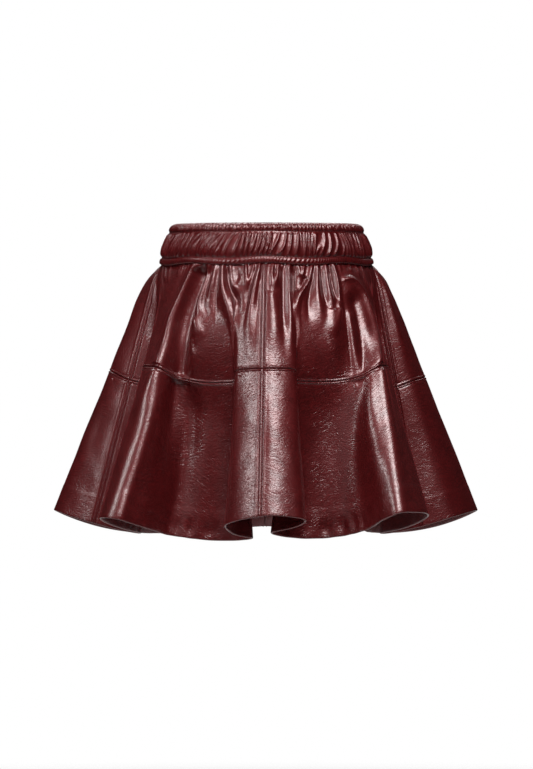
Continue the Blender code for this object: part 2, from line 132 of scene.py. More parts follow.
# Rounded ridges, or sharp valleys where the height is negative, all in millimetres. A path
# goes from the waistband down, as (thousandths of a turn of the waist, mm down the cloth).
CREASES = creases((
    # the left side
    (1.6, 2.4, 5, (-249, 0), (-245, 29), (-241, 48), (-237, 66)),
    (2, 2.6, 4, (-218, 0), (-203, 18), (-184, 34), (-176, 60)),
    (1.6, 2.2, 3, (-203, 0), (-176, 28)),
    (1.4, 2.2, 3, (-179, 0), (-169, 29)),
    # the left flute and the hollow beside it
    (1, 3, 4, (-146, 0), (-150, 20)),
    (5.5, 5, 12, (-116, 0), (-125, 33), (-131, 56), (-136.5, 80), (-137, 112), (-141, 150),
     (-151, 190), (-154, 250)),
    (2.6, 14, 15, (-137, 110), (-136, 163), (-136, 215), (-138, 268), (-140, 320), (-141, 345)),
    (-6, 12, 14, (-98, 120), (-98, 163), (-98, 215), (-99, 268), (-102, 320), (-103, 345)),
    (1.8, 2.6, 3, (-100, 0), (-109, 3.5), (-119, 10)),
    (-12, 10, 13, (-101, 0), (-106, 28), (-110, 51), (-111, 82), (-110, 110), (-110, 165),
     (-109, 225), (-104, 300)),
    (5, 3.6, 8, (-90.5, 0), (-94, 26), (-98, 47), (-99, 76)),
    (2.2, 6, 7, (-99, 66), (-103, 89), (-104, 106), (-102, 124)),
    (2, 6, 6, (-99, 66), (-89, 83), (-82, 96)),
    (-1.6, 4, 6, (-97, 90), (-90, 114)),
    (-3.6, 3.5, 6, (-86, 0), (-90, 42), (-84, 57), (-77, 74)),
    (3, 2.6, 5, (-79, 0), (-81, 25), (-82, 44)),
    (-2.6, 3.5, 8, (-72.5, 0), (-74, 41), (-73, 58), (-72, 84)),
    (5, 3.4, 12, (-67, 0), (-66, 24), (-61, 44), (-55, 63), (-48, 84), (-42, 112)),
    (-4.6, 3.5, 4, (-61, 0), (-55, 30), (-41, 51), (-34, 72)),
    # the inner fold and the centre flute
    (3, 2.6, 4, (-55.5, 0), (-54, 21), (-43, 34), (-35, 43)),
    (-2.6, 4, 3, (-43, 0), (-43, 19), (-40, 28)),
    (2, 2, 2.6, (-31, 0), (-28, 20), (-29, 37)),
    (2, 2, 2.6, (-18, 0), (-24, 26), (-29, 40)),
    (-2.2, 2.4, 2, (-24.5, 0), (-27, 25)),
    (-2.6, 2.5, 3.5, (-14.5, 0), (-21, 22), (-25, 42), (-27, 90)),
    (3.2, 2.8, 9, (-10, 0), (-15, 31), (-19, 55), (-21, 80), (-19, 128)),
    (-2.2, 3, 4, (-6, 0), (-11, 50), (-9, 84)),
    (2.2, 2.4, 4, (9.5, 0), (8, 22), (6, 44)),
    (2.2, 2.4, 4, (18, 0), (14, 24), (7, 44)),
    (-2.2, 2.2, 2, (13.7, 0), (11, 24)),
    (2.4, 6, 14, (6, 36), (10, 82), (10, 132)),
    (-3.4, 4, 6, (25, 0), (23, 40), (21, 80), (20, 124)),
    (3, 2.4, 6, (34, 0), (32, 29), (30, 67), (28, 150)),
    # the right hollow
    (-5, 4, 4, (41, 0), (40, 18), (38, 43), (37, 62)),
    (1.6, 2, 2, (48, 0), (52, 18)),
    (1.6, 2, 2, (58, 0), (54, 18)),
    (3.6, 2.8, 7, (70, 0), (66, 18), (58, 30), (48, 45), (42, 63), (47, 78), (54, 92)),
    (-3.2, 4, 3, (61, 14), (55, 28), (47, 38)),
    (-3.6, 3, 6, (73, 0), (67, 33), (65, 50), (66, 82)),
    (2.4, 2.8, 8, (79, 0), (76, 25), (77, 59), (77, 88)),
    (-3.2, 3, 5, (85.5, 0), (84, 34), (85, 62)),
    (3.2, 2.6, 8, (92.5, 0), (90, 26), (92, 50), (95, 70)),
    (2.6, 8, 7, (93, 56), (88, 76), (81, 94)),
    (-3.2, 3, 4, (100.5, 0), (99, 30), (102, 50), (103, 66)),
    (4.2, 2.8, 6, (106, 0), (107, 25), (104, 45), (99, 64), (93, 79), (82, 96)),
    # the arch over the right flute
    (4.2, 3, 11, (110, 25), (119, 23), (129, 22), (143, 26), (157, 42), (162, 65), (163, 92),
     (158, 118), (151, 142), (147, 185), (142, 240), (136, 300)),
    (-7, 10, 13, (134, 34), (136, 75), (133, 115), (124, 150), (112, 190), (100, 250)),
    (3.5, 10, 12, (154, 80), (154, 125), (151, 177), (146, 231), (140, 285), (134, 345)),
    (2.2, 6, 7, (124, 60), (120, 90), (116, 120), (112, 150)),
    (1.2, 3, 4, (141, 0), (139, 15)),
    (1.4, 2.4, 3, (158, 0), (160, 22)),
    (2.2, 2.6, 5, (173, 0), (175, 30), (183, 52), (186, 80)),
    # the right side
    (1.4, 2.4, 4, (199, 0), (203, 32)),
    (1.6, 2.4, 4, (221, 0), (224, 36)),
    (1.4, 2.4, 4, (243, 0), (246, 30)),
    (2.4, 3, 10, (262, 0), (264, 40), (263, 90), (264, 150)),
    (1.6, 2.6, 5, (281, 0), (279, 44)),
    # the back
    (2.4, 3, 10, (300, 0), (303, 34), (305, 90)),
    (1.8, 2.6, 4, (318, 0), (322, 20), (316, 46)),
    (1.7, 2.4, 4, (336, 0), (338, 34)),
    (2.2, 2.8, 7, (354, 0), (352, 24), (345, 66)),
    (1.6, 2.4, 4, (371, 0), (373, 38)),
    (-2.2, 3.4, 7, (379, 0), (378, 52)),
    (2.2, 2.6, 8, (390, 0), (394, 40), (399, 110)),
    (1.8, 2.4, 4, (404, 0), (409, 30)),
    (1.8, 2.4, 4, (416, 0), (411, 34)),
    (2.8, 3, 12, (427, 0), (425, 40), (428, 96), (432, 190)),
    (-1.8, 2.6, 6, (435, 0), (436, 44)),
    (2, 2.6, 6, (443, 0), (448, 28), (456, 68)),
    (1.4, 2.2, 3, (454, 0), (452, 22)),
    (2.4, 2.8, 7, (466, 0), (468, 26), (476, 52), (478, 88)),
    (-1.8, 2.6, 5, (475.5, 0), (478, 30)),
    (2, 2.6, 6, (485, 0), (487, 30), (491, 70)),
    (1.8, 2.4, 4, (510, 0), (508, 34)),
    (2.4, 2.8, 7, (523, 0), (521, 24), (513, 72)),
    (-2, 2.8, 6, (532, 0), (531, 46)),
    (1.6, 2.2, 3, (540, 0), (545, 24)),
    (1.6, 2.2, 3, (552, 0), (546, 26)),
    (3, 3, 13, (566, 0), (570, 38), (572, 100), (567, 210)),
    (1.8, 2.4, 5, (580, 0), (584, 42)),
    (2.2, 2.8, 8, (594, 0), (592, 40), (596, 104)),
    (1.5, 2.2, 3, (607, 0), (605, 24)),
    (-2.4, 3.4, 7, (617, 0), (621, 52)),
    (2, 2.6, 6, (630, 0), (634, 50)),
    (2.2, 2.8, 7, (647, 0), (651, 30), (661, 84)),
    (1.4, 2.2, 3, (662, 0), (664, 26)),
    (2.6, 3, 10, (680, 0), (682, 38), (689, 104)),
    (1.7, 2.4, 4, (699, 0), (697, 30)),
    (2.2, 2.8, 8, (716, 0), (719, 40), (724, 100)),
    (1.5, 2.4, 4, (735, 0), (737, 32)),
    # short pulls where the tiers' seam crosses a bend
    (0.9, 1.6, 3, (-98, 151), (-101, 164)),
    (-0.8, 1.6, 3, (-101, 151), (-104, 162)),
    (0.9, 1.6, 3, (110, 154), (112, 166)),
    (-0.8, 1.8, 3, (117, 138), (120, 150)),
    (0.9, 1.6, 3, (392, 151), (395, 166)),
    (0.9, 1.6, 3, (604, 151), (602, 165)),
))
CREASE_STEPS = 8  # steps of the smooth path between two points
HEM_REACH = 340  # a crease that ends lower down than this runs out through the hem
WAIST_REACH = 5  # and one that starts lower down than this fades in
BROAD = 8  # a valley wider than this is rounded
TAPER_FROM = 0.52  # share of the path where a crease starts to die away
FADE_IN, LONG_FADE_IN = 0.10, 0.30  # shares of the path where it has faded in
VALLEY_LEAD, VALLEY_FADE = 0.002, 0.014  # cloth over which a valley reaches its depth
ROUNDING = 0.25  # of a sharp valley's bottom, in widths
SHARPNESS = 1.1  # of a valley that isn't rounded
CREASE_REACH = 4  # widths to each side that a crease is worked out for
LEAST_GIRTH, MEAN_GIRTH = 0.75, 1.1  # of the cloth, in metres

Stand = namedtuple("Stand", "waist gathers tier hem")
# How far the cloth stands out from the plain cloth, in millimetres, round the waist in
# thousandths of a turn: under the gathers (at GATHERS_END), at STAND_TIER below the tier
# seam, and at the hem.
STANDS = [Stand(*row) for row in (
    (-222, 0, 0, 0), (-200, 0, 5, 10), (-178, 0, 10, 21), (-152, 0, 11.5, 24.5),
    (-130, 0, 12, 24), (-118, 0, 9, 18), (-104, 15, 3, 8), (-96, 23, 6, 11), (-88, 26, 14, 20),
    (-73, 29, 20, 27), (-56, 24, 20, 24), (-44, 8, 8, 8), (-30, 0, 0, 0), (34, 0, 0, 0),
    (48, 12, 12, 12), (60, 24, 24, 26), (74, 29, 22, 28), (88, 26, 13, 20), (100, 12, 8, 14),
    (114, 0, 10, 20), (128, 0, 13, 26), (145, 0, 12, 24), (178, 0, 9, 18), (202, 0, 3, 6),
    (222, 0, 0, 0), (330, 0, 0, 0), (376, 14, 9, 7), (400, 4, 2, 0), (440, 0, 0, 0),
    (466, 8, 5, 3), (485, 22, 14, 10), (510, 24, 15, 10), (530, 10, 6, 3), (560, 0, 0, 0),
    (600, 4, 2, 0), (630, 17, 10, 7), (665, 6, 3, 2), (700, 0, 0, 0),
)]
GATHERS_END = 0.092
STAND_TIER = 0.200
STAND_BEND = 6  # how sudden the bend at the gathers' end is
STAND_BLUR = 0.004  # in turns of the waist
STAND_STEPS = 2000
STAND_LEAD = 0.02  # above STAND_TIER, where the cloth starts towards its stand at the hem
STAND_CURVE, STAND_LIMIT = 1.3, 1.1  # how late it gets there, and how far past it may go


def length_prop(name, description, default):
    """A length that a user would change."""
    return bpy.props.FloatProperty(
        name=name, description=description, default=default, unit="LENGTH"
    )


def count_prop(name, description, default, least):
    """A whole number that a user would change."""
    return bpy.props.IntProperty(
        name=name, description=description, default=default, min=least
    )


def colour_prop(name, description, red, green, blue):
    """A colour that a user would change."""
    return bpy.props.FloatVectorProperty(
        name=name, description=description, subtype="COLOR", size=4, min=0.0, max=1.0,
        default=(red, green, blue, 1.0),
    )


class SkirtSizes(bpy.types.PropertyGroup):
    """Sizes of the skirt's cloth and sewing that a user would change."""

    leather: length_prop("Leather", "Thickness of one layer", 0.0012)
    length: length_prop("Length", "Cloth from the waistband to the hem", 0.3425)
    hem_turn: length_prop("Hem turn", "Leather turned up inside at the hem", 0.036)
    columns: count_prop("Columns", "Columns of the net round the hem", 1000, 200)
    band_height: length_prop("Waistband", "Height of the waistband", 0.0518)
    band_gathers: count_prop("Gathers", "Gathers round the elastic", 97, 12)
    stitch_pitch: length_prop("Stitch pitch", "From one stitch to the next", 0.0036)
    stitch_length: length_prop("Stitch length", "Length of thread showing", 0.0029)
    thread: length_prop("Thread", "Radius of the thread", 0.00030)
    stitch_off: length_prop("Stitch offset", "From a seam to its topstitching", 0.0033)


class SkirtColours(bpy.types.PropertyGroup):
    """Colours of the skirt that a user would change."""

    leather: colour_prop("Leather", "Main colour of the leather", 0.057, 0.0026, 0.0031)
    worn: colour_prop("Raised leather", "Leather where the finish is thin", 0.073, 0.0038, 0.0045)
    # painted shade: the colour that the creases are darkened towards, standing in for shade in
    # them
    painted_crease_shade: colour_prop("Painted crease shade", "Painted shade down in the creases", 0.014, 0.0009, 0.0010)
    backing: colour_prop("Backing", "Flesh side of the leather", 0.020, 0.0030, 0.0036)
    thread: colour_prop("Thread", "Topstitching thread", 0.085, 0.010, 0.012)


# ------------------------------------------------------------------------- small helpers

NOISE_SHIFT = (7.31, 3.17, 5.73)  # what one seed more moves the noise by


def smoothstep(x):
    """0 up to 0 and 1 from 1 on, with a smooth climb between them."""
    x = np.clip(x, 0.0, 1.0)
    return x * x * (3 - 2 * x)


def hump(x, middle, half_width):
    """A smooth bump of height 1 at middle, 0 beyond half_width from it."""
    return 1 - smoothstep(np.abs(x - middle) / half_width)


def passed_after(steps, axis=0):
    """The distance passed at each point of a line, from the steps between the points."""
    return np.insert(np.cumsum(steps, axis=axis), 0, 0.0, axis=axis)


def ringed(points):
    """Rows of points round a ring, with their neighbours beyond each end added."""
    return np.concatenate([points[:, -2:-1], points, points[:, 1:2]], axis=1)


def point_at(place, places, points):
    """The point at a place along a line of points."""
    return np.array([np.interp(place, places, column) for column in points.T])


def bell(away, width):
    """1 at the middle of a form, fading to nothing two widths away."""
    return np.exp(-((away / width) ** 2))


def field(points, scale, seed):
    """Smooth noise at points, -1 to 1, with features of about 1 / scale metres."""
    shift = Vector([seed * part for part in NOISE_SHIFT])
    values = [noise.noise(Vector(p) * scale + shift) for p in points.reshape(-1, 3)]
    return np.array(values).reshape(points.shape[:-1])


def catmull_rom(points, per_side):
    """A smooth open path through the points."""
    points = np.asarray(points, float)
    padded = np.vstack([2 * points[0] - points[1], points, 2 * points[-1] - points[-2]])
    path = []
    for k in range(len(points) - 1):
        a, b, c, d = padded[k:k + 4]
        for t in np.linspace(0, 1, per_side, endpoint=False):
            path.append(
                0.5 * (2 * b + (c - a) * t + (2 * a - 5 * b + 4 * c - d) * t * t
                       + (3 * b - a - 3 * c + d) * t ** 3)
            )
    path.append(points[-1])
    return np.array(path)


def ellipse(waist, half_width):
    """Point and outward direction on a waist ellipse, seen from above."""
    angle = 2 * math.pi * waist
    half_depth = half_width * WAIST_DEPTH_RATIO
    point = np.stack([half_width * np.sin(angle), -half_depth * np.cos(angle)], -1)
    out = np.stack([half_depth * np.sin(angle), -half_width * np.cos(angle)], -1)
    return point, out / np.linalg.norm(out, axis=-1, keepdims=True)


def band_wave(waist):
    """How far the waistband's lower edge rises and falls, round the waist."""
    return BAND_WAVE_HEIGHT * np.cos(2 * math.pi * BAND_WAVES * waist)


def unit(vectors):
    """The vectors' directions, each of length 1."""
    return vectors / np.maximum(np.linalg.norm(vectors, axis=-1, keepdims=True), 1e-12)


# ------------------------------------------------------------------------------ the hem

HEM_STEP_ALONG = 0.001
POINTS_PER_FOLD_SIDE = 40
FOLD_BLUR = 0.004
SHARE_BLUR = 0.014


def fold_side(before, start, end, after, count):
    """Points on the centripetal Catmull-Rom curve from start up to end."""
    corners = (before, start, end, after)
    knots = np.cumsum([0.0] + [math.dist(a, b) ** 0.5 for a, b in zip(corners, corners[1:])])
    at = np.linspace(knots[1], knots[2], count, endpoint=False)[:, None]

    def blend(first, last, low, high):
        share = (at - knots[low]) / (knots[high] - knots[low])
        return first * (1 - share) + last * share

    near = blend(before, start, 0, 1)
    middle = blend(start, end, 1, 2)
    far = blend(end, after, 2, 3)
    return blend(blend(near, middle, 0, 2), blend(middle, far, 1, 3), 1, 2)


class HemOutline:
    """The hem's closed outline with rounded folds, by distance along the hem."""

    def __init__(self):
        folds = len(HEM_FOLDS)
        corners = [np.array([f.x, f.y]) for f in HEM_FOLDS]
        sides = [
            fold_side(
                corners[k - 1], corners[k], corners[(k + 1) % folds], corners[(k + 2) % folds],
                POINTS_PER_FOLD_SIDE,
            )
            for k in range(folds)
        ]
        path = np.vstack(sides + [corners[0]])
        passed = passed_after(np.linalg.norm(np.diff(path, axis=0), axis=1))
        corner_at = passed[::POINTS_PER_FOLD_SIDE]
        self.length = passed[-1]
        count = int(round(self.length / HEM_STEP_ALONG))
        self.at = np.arange(count) * self.length / count
        turn = self.at / self.length
        last = HEM_FOLDS[0]._replace(waist=HEM_FOLDS[0].waist + 1)
        _, waist, _, _, swell, tier = zip(*HEM_FOLDS, last)
        self.table = np.array([
            self.blurred(np.interp(self.at, passed, path[:, 0]), FOLD_BLUR),
            self.blurred(np.interp(self.at, passed, path[:, 1]), FOLD_BLUR),
            self.blurred(np.interp(self.at, corner_at, waist) - turn, SHARE_BLUR) + turn,
            self.blurred(np.interp(self.at, corner_at, swell), SHARE_BLUR),
            self.blurred(np.interp(self.at, corner_at, tier), SHARE_BLUR),
        ])

    def blurred(self, row, spread):
        """The row evened out along the hem by a bell curve of this spread."""
        waves = np.fft.rfftfreq(len(row), self.length / len(row))
        blur = np.exp(-2 * (math.pi * spread * waves) ** 2)
        return np.fft.irfft(np.fft.rfft(row) * blur, len(row))

    def read(self, along):
        """(x, y, waist, swell, tier) at distances along the hem, even past its start."""
        turns = np.floor(along / self.length)
        inside = along - turns * self.length
        at = np.append(self.at, self.length)
        closing = self.table[:, 0] + np.array([0.0, 0.0, 1.0, 0.0, 0.0])
        table = np.column_stack([self.table, closing])
        x, y, waist, swell, tier = (np.interp(inside, at, row) for row in table)
        return x, y, waist + turns, swell, tier

    def place_of(self, waist):
        """Distance along the hem of the cloth that hangs from this place of the waist."""
        turns = math.floor(waist - self.table[2, 0])
        at = np.append(self.at, self.length)
        row = np.append(self.table[2], self.table[2, 0] + 1)
        return float(np.interp(waist - turns, row, at)) + turns * self.length


# ---------------------------------------------------------------------- the skirt's cloth

DROP_STEPS = 33
LENGTH_HALVINGS = 26
# Zones of the net's rows, and their steps: gathers, upper tier, seams, lower tier and hem.
GATHERED, GATHERED_STEP = 0.060, 0.0016
UPPER_STEP = 0.0029
SEAM_ZONE, SEAM_STEP = 0.007, 0.0007
LOWER_STEP = 0.0040
HEM_ZONE, HEM_STEP = 0.050, 0.0026
Crowding = namedtuple("Crowding", "waist bend seam even")
CROWDING = Crowding(0.55, 0.12, 0.16, 0.17)  # what share of the columns follows what
CROWDING_STEPS = 4000
PANEL_SPACING = 3.0  # between the panels in the cloth's coordinates
LEVEL_UNTIL = 0.020
HEM_ROUND_STEPS = 4
HEM_ROUND = 0.97  # of a quarter turn, at each side of the hem's lowest line
HEM_TURN_STEP = 0.0012
SHARP_ANGLE = math.radians(60)
UPRIGHT_STITCH_OFF = 0.0023
SMALL_GATHERS, SMALL_GATHER_HEIGHT, SMALL_GATHERS_END = 118, 0.00055, 0.018
# The leather's unevenness, broad and small: features to a metre, seed and height.
SLACK = ((26, 1, 0.0011), (62, 2, 0.00042))
SLACK_SQUEEZE = 0.45  # which makes it longer down the cloth than across
SLACK_START = 0.030
HEM_EDGE, HEM_EDGE_WIDTH = 0.00028, 0.003  # the turned-up edge showing through
PUCKER_DEPTH, PUCKER_PITCH = 0.00220, 0.0150
PUCKER_REACH = 0.034  # in turns of the waist
PUCKER_UP, PUCKER_HALF_HEIGHT = 0.012, 0.015  # above the hem
SEAM_CALM, SEAM_CALM_WIDTH = 0.55, 0.0040
SeamForm = namedtuple("SeamForm", "height place width")
# Across half a seam. place is a share of the way out to the topstitching.
LEVEL_SEAM = [SeamForm(*row) for row in (
    (-0.00085, 0.0, 0.0008), (0.00055, 0.5, 0.0011), (-0.00034, 1.0, 0.0007)
)]
UPRIGHT_SEAM = [SeamForm(*row) for row in (
    (0.00040, 0.0, 0.0012), (-0.00080, 1.0, 0.0008), (0.00030, 2.1, 0.0016)
)]


def flare(share, swell):
    """Share of the way out to the hem, at a share of the drop."""
    return share + swell * (1 - share) * (1 - np.exp(-share / SWELL_START))


def seam_profile(gap, stitch_off, forms):
    """Height of a seam's forms at a distance from its middle."""
    return sum(f.height * bell(gap - f.place * stitch_off, f.width) for f in forms)


def row_places(length):
    """Distances down the cloth of the net's rows, finest at the gathers and the seam."""
    seam_low, seam_high = TIER_SEAM - SEAM_ZONE, TIER_SEAM + SEAM_ZONE
    upper = [
        np.arange(0.0, GATHERED, GATHERED_STEP),
        np.arange(GATHERED, seam_low, UPPER_STEP),
        np.arange(seam_low, TIER_SEAM - SEAM_STEP / 2, SEAM_STEP),
        [TIER_SEAM],
    ]
    lower = [
        np.arange(TIER_SEAM, seam_high, SEAM_STEP),
        np.arange(seam_high, length - HEM_ZONE, LOWER_STEP),
        np.arange(length - HEM_ZONE, length - HEM_STEP / 2, HEM_STEP),
        [length],
    ]
    return np.concatenate(upper), np.concatenate(lower)


def column_places(hem, count):
    """Places along the hem of the net's columns, and the columns where the seams are."""
    places, seam_columns = [], [0]
    for start, end in zip(SEAMS, SEAMS[1:]):
        low, high = hem.place_of(start), hem.place_of(end)
        fine = np.linspace(low, high, CROWDING_STEPS)
        x, y, waist, _, _ = hem.read(fine)
        heading = np.unwrap(np.arctan2(np.gradient(y), np.gradient(x)))
        bend = np.abs(np.gradient(heading))
        near_seam = np.exp(-np.minimum(fine - low, high - fine) / SEAM_ZONE)
        crowding = (
            CROWDING.waist * np.gradient(waist) / (waist[-1] - waist[0])
            + CROWDING.bend * bend / bend.sum()
            + CROWDING.seam * near_seam / near_seam.sum()
            + CROWDING.even / len(fine)
        )
        passed = passed_after((crowding[1:] + crowding[:-1]) / 2)
        steps = int(round(count * (high - low) / hem.length))
        places.append(np.interp(np.linspace(0, passed[-1], steps, endpoint=False), passed, fine))
        seam_columns.append(seam_columns[-1] + steps)
    return np.concatenate(places), seam_columns


class SkirtNet:
    """The skirt below the waistband, as nets of points for its outer and inner faces."""

    def __init__(self, sizes):
        self.sizes = sizes
        self.hem = HemOutline()
        upper, lower = row_places(sizes.length)
        self.down = np.concatenate([upper, lower[1:]])
        self.tier_row = len(upper) - 1
        along, self.seam_columns = column_places(self.hem, sizes.columns)
        self.along = np.append(along, along[0] + self.hem.length)
        self.plain, self.waist = self.drape()
        self.out = self.outward(self.plain)
        self.across = self.metres_per_waist()
        self.height = self.relief()
        self.face = self.plain + self.out * self.height[..., None]
        self.out = self.outward(self.face)

    def drape(self):
        """Points of the plain cloth: every line of it from waist to hem is equally long."""
        length = self.sizes.length
        x, y, waist, swell, tier = self.hem.read(self.along)
        top, out = ellipse(waist, SKIRT_TOP_HALF_WIDTH)
        reach = np.stack([x, y], -1) - top
        spread = np.linalg.norm(reach, axis=-1)
        step = np.linspace(0, 1, DROP_STEPS)
        run = np.diff(flare(step[:, None], swell) * spread, axis=0)
        low, high = np.zeros_like(spread), np.full_like(spread, length)
        for _ in range(LENGTH_HALVINGS):
            drop = (low + high) / 2
            pieces = np.sqrt(run ** 2 + (drop / (DROP_STEPS - 1)) ** 2)
            short = pieces.sum(0) < length
            low, high = np.where(short, drop, low), np.where(short, high, drop)
        passed = passed_after(pieces)
        below = (length - self.down) / (length - TIER_SEAM)
        toward_tier = np.minimum(self.down / TIER_SEAM, below)
        cloth = self.down[:, None] + toward_tier[:, None] * (tier - TIER_SEAM)
        share = np.stack(
            [np.interp(cloth[:, k], passed[:, k], step) for k in range(len(spread))], -1
        )
        puff = TOP_PUFF * (1 - np.exp(-self.down / PUFF_RISE)) * np.exp(-self.down / PUFF_FADE)
        plan = top + reach * flare(share, swell)[..., None] + out * puff[:, None, None]
        outer, forward = self.stands(waist)
        ahead = np.stack([np.zeros_like(waist), -np.sign(np.cos(2 * math.pi * waist))], -1)
        plan = plan + out * outer[..., None] + ahead * forward[..., None]
        top_height = -self.sizes.band_height / 2 - SEAM_GAP
        height = top_height + band_wave(waist) - drop * share
        return np.concatenate([plan, height[..., None]], -1), waist

    def stands(self, waist):
        """How far the cloth stands off the plain shape: outwards, and straight ahead."""
        turn = np.arange(STAND_STEPS) / STAND_STEPS
        table = sorted((s.waist / 1000 % 1.0, s.gathers, s.tier, s.hem) for s in STANDS)
        places, *levels = (np.array(column) for column in zip(*table))
        blur = np.exp(-2 * (math.pi * STAND_BLUR * np.arange(STAND_STEPS // 2 + 1)) ** 2)
        tops = []
        for level in levels:
            row = np.interp(turn, places, level / 1000, period=1.0)
            row = np.fft.irfft(np.fft.rfft(row) * blur, STAND_STEPS)
            tops.append(np.interp(waist % 1.0, turn, row, period=1.0))
        # It climbs evenly to the end of the gathers and then stays, with a soft bend.
        rise = self.down / GATHERS_END
        rise = (rise / (1 + rise ** STAND_BEND) ** (1 / STAND_BEND))[:, None]
        turned = smoothstep((self.down - GATHERS_END) / (STAND_TIER - GATHERS_END))[:, None]
        below = (self.down - STAND_TIER + STAND_LEAD) / (self.sizes.length - STAND_TIER)
        below = np.clip(below, 0, STAND_LIMIT) ** STAND_CURVE
        low = tops[1] + (tops[2] - tops[1]) * below[:, None]
        return rise * (1 - turned) * tops[0], turned * low

    def outward(self, points):
        """Unit outward directions, level at the top edge, the same at the net's two ends."""
        ring = ringed(points)
        out = unit(np.cross(np.gradient(points, axis=0), ring[:, 2:] - ring[:, :-2]))
        out[..., 2] *= smoothstep(self.down / LEVEL_UNTIL)[:, None]
        return unit(out)

    def metres_per_waist(self):
        """How wide the cloth of one whole turn of the waist would be, at each point."""
        ring = ringed(self.plain)
        width = np.linalg.norm(ring[:, 2:] - ring[:, :-2], axis=-1)
        waist = np.concatenate([[self.waist[-2] - 1], self.waist, [self.waist[1] + 1]])
        return width / (waist[2:] - waist[:-2])

    # ---- relief over the plain cloth

    def relief(self):
        """How far the creases, gathers, seams and hem stand off the plain cloth."""
        height = np.zeros(self.plain.shape[:2])
        for crease in CREASES:
            self.add_crease(height, crease)
        height += self.small_gathers() + self.slack() + self.hem_relief()
        widths = np.linalg.norm(np.diff(self.plain, axis=1), axis=-1)
        passed = passed_after(widths, axis=1)
        upright = np.minimum.reduce([np.abs(passed - passed[:, [c]]) for c in self.seam_columns])
        level = np.abs(self.down - TIER_SEAM)[:, None] + 0 * upright
        # The several layers of a seam stiffen the leather, so creases are flatter there.
        calm = 1 - SEAM_CALM * bell(np.minimum(upright, level), SEAM_CALM_WIDTH)
        seams = np.where(
            upright < level,
            seam_profile(upright, UPRIGHT_STITCH_OFF, UPRIGHT_SEAM),
            seam_profile(level, self.sizes.stitch_off, LEVEL_SEAM),
        )
        return height * calm + seams

    def add_crease(self, height, crease):
        """Adds a soft ridge or trough that tapers off at its lower end."""
        path = catmull_rom(crease.path, CREASE_STEPS)
        path_down = path[:, 1] / 1000
        reach = CREASE_REACH * max(crease.start_width, crease.end_width) / 1000
        rows = np.where(
            (self.down > path_down.min() - reach) & (self.down < path_down.max() + reach)
        )[0]
        middle = path[:, 0].mean()
        off = (self.waist - middle + 0.5) % 1.0 - 0.5
        span = np.ptp(path[:, 0]) / 2 + reach / LEAST_GIRTH
        columns = np.where(np.abs(off) < span)[0]
        block = np.ix_(rows, columns)
        across = self.across[block]
        side = off[columns][None, :] * across
        down = self.down[rows][:, None] * np.ones_like(side)
        best = np.full(side.shape, 1e9)
        share = np.zeros(side.shape)
        passed = passed_after(np.hypot(np.diff(path[:, 0]) * MEAN_GIRTH, np.diff(path_down)))
        for k in range(len(path) - 1):
            start_side = (path[k, 0] - middle) * across
            end_side = (path[k + 1, 0] - middle) * across
            run_side, run_down = end_side - start_side, path_down[k + 1] - path_down[k]
            squared = np.maximum(run_side ** 2 + run_down ** 2, 1e-12)
            t = ((side - start_side) * run_side + (down - path_down[k]) * run_down) / squared
            t = np.clip(t, 0, 1)
            gap = np.hypot(side - start_side - t * run_side, down - path_down[k] - t * run_down)
            closer = gap < best
            best = np.where(closer, gap, best)
            here = (passed[k] + t * (passed[k + 1] - passed[k])) / passed[-1]
            share = np.where(closer, here, share)
        width = (crease.start_width + (crease.end_width - crease.start_width) * share) / 1000
        reaches_hem = crease.path[-1][1] > HEM_REACH
        taper = 1.0 if reaches_hem else 1 - smoothstep((share - TAPER_FROM) / (1 - TAPER_FROM))
        if crease.path[0][1] > WAIST_REACH:
            taper = taper * smoothstep(share / (LONG_FADE_IN if reaches_hem else FADE_IN))
        if crease.height > 0 or crease.start_width > BROAD:
            shape = bell(best, width)
        else:
            gap = SHARPNESS * best / width
            shape = np.exp(ROUNDING - np.sqrt(gap ** 2 + ROUNDING ** 2))
        if crease.height < 0:
            taper = taper * smoothstep((self.down[rows] + VALLEY_LEAD) / VALLEY_FADE)[:, None]
        height[block] += crease.height / 1000 * taper * shape

    def small_gathers(self):
        """Fine uneven gathers that show only just below the waistband."""
        turn = 2 * math.pi * self.waist
        phase = SMALL_GATHERS * self.waist + 0.8 * np.sin(9 * turn) + 0.6 * np.sin(17 * turn + 2)
        depth = SMALL_GATHER_HEIGHT * (0.6 + 0.4 * np.sin(6 * turn + 1) * np.sin(13 * turn))
        wave = np.cos(2 * math.pi * phase) * depth
        return wave * (1 - smoothstep(self.down / SMALL_GATHERS_END))[:, None]

    def slack(self):
        """Slight unevenness of the leather all over, longer down the cloth than across."""
        squeezed = self.plain * np.array([1.0, 1.0, SLACK_SQUEEZE])
        rise = sum(field(squeezed, scale, seed) * height for scale, seed, height in SLACK)
        return rise * smoothstep(self.down / SLACK_START)[:, None]

    def hem_relief(self):
        """The turned-up hem's edge showing through, and its puckers."""
        up = self.sizes.length - self.down
        past_edge = (up - self.sizes.hem_turn + HEM_EDGE_WIDTH / 2) / HEM_EDGE_WIDTH
        step = HEM_EDGE * (1 - smoothstep(past_edge))
        turn = 2 * math.pi * self.waist
        phase = self.along / PUCKER_PITCH + 0.9 * np.sin(7 * turn) + 0.6 * np.sin(19 * turn)
        uneven = sum(hump(self.waist % 1.0, place % 1.0, PUCKER_REACH) for place in PUCKERED)
        pucker = -PUCKER_DEPTH * uneven * (0.5 + 0.5 * np.cos(2 * math.pi * phase))
        near_hem = hump(up, PUCKER_UP, PUCKER_HALF_HEIGHT)
        return step[:, None] + pucker[None, :] * near_hem[:, None]

    # ---- lines that the topstitching follows

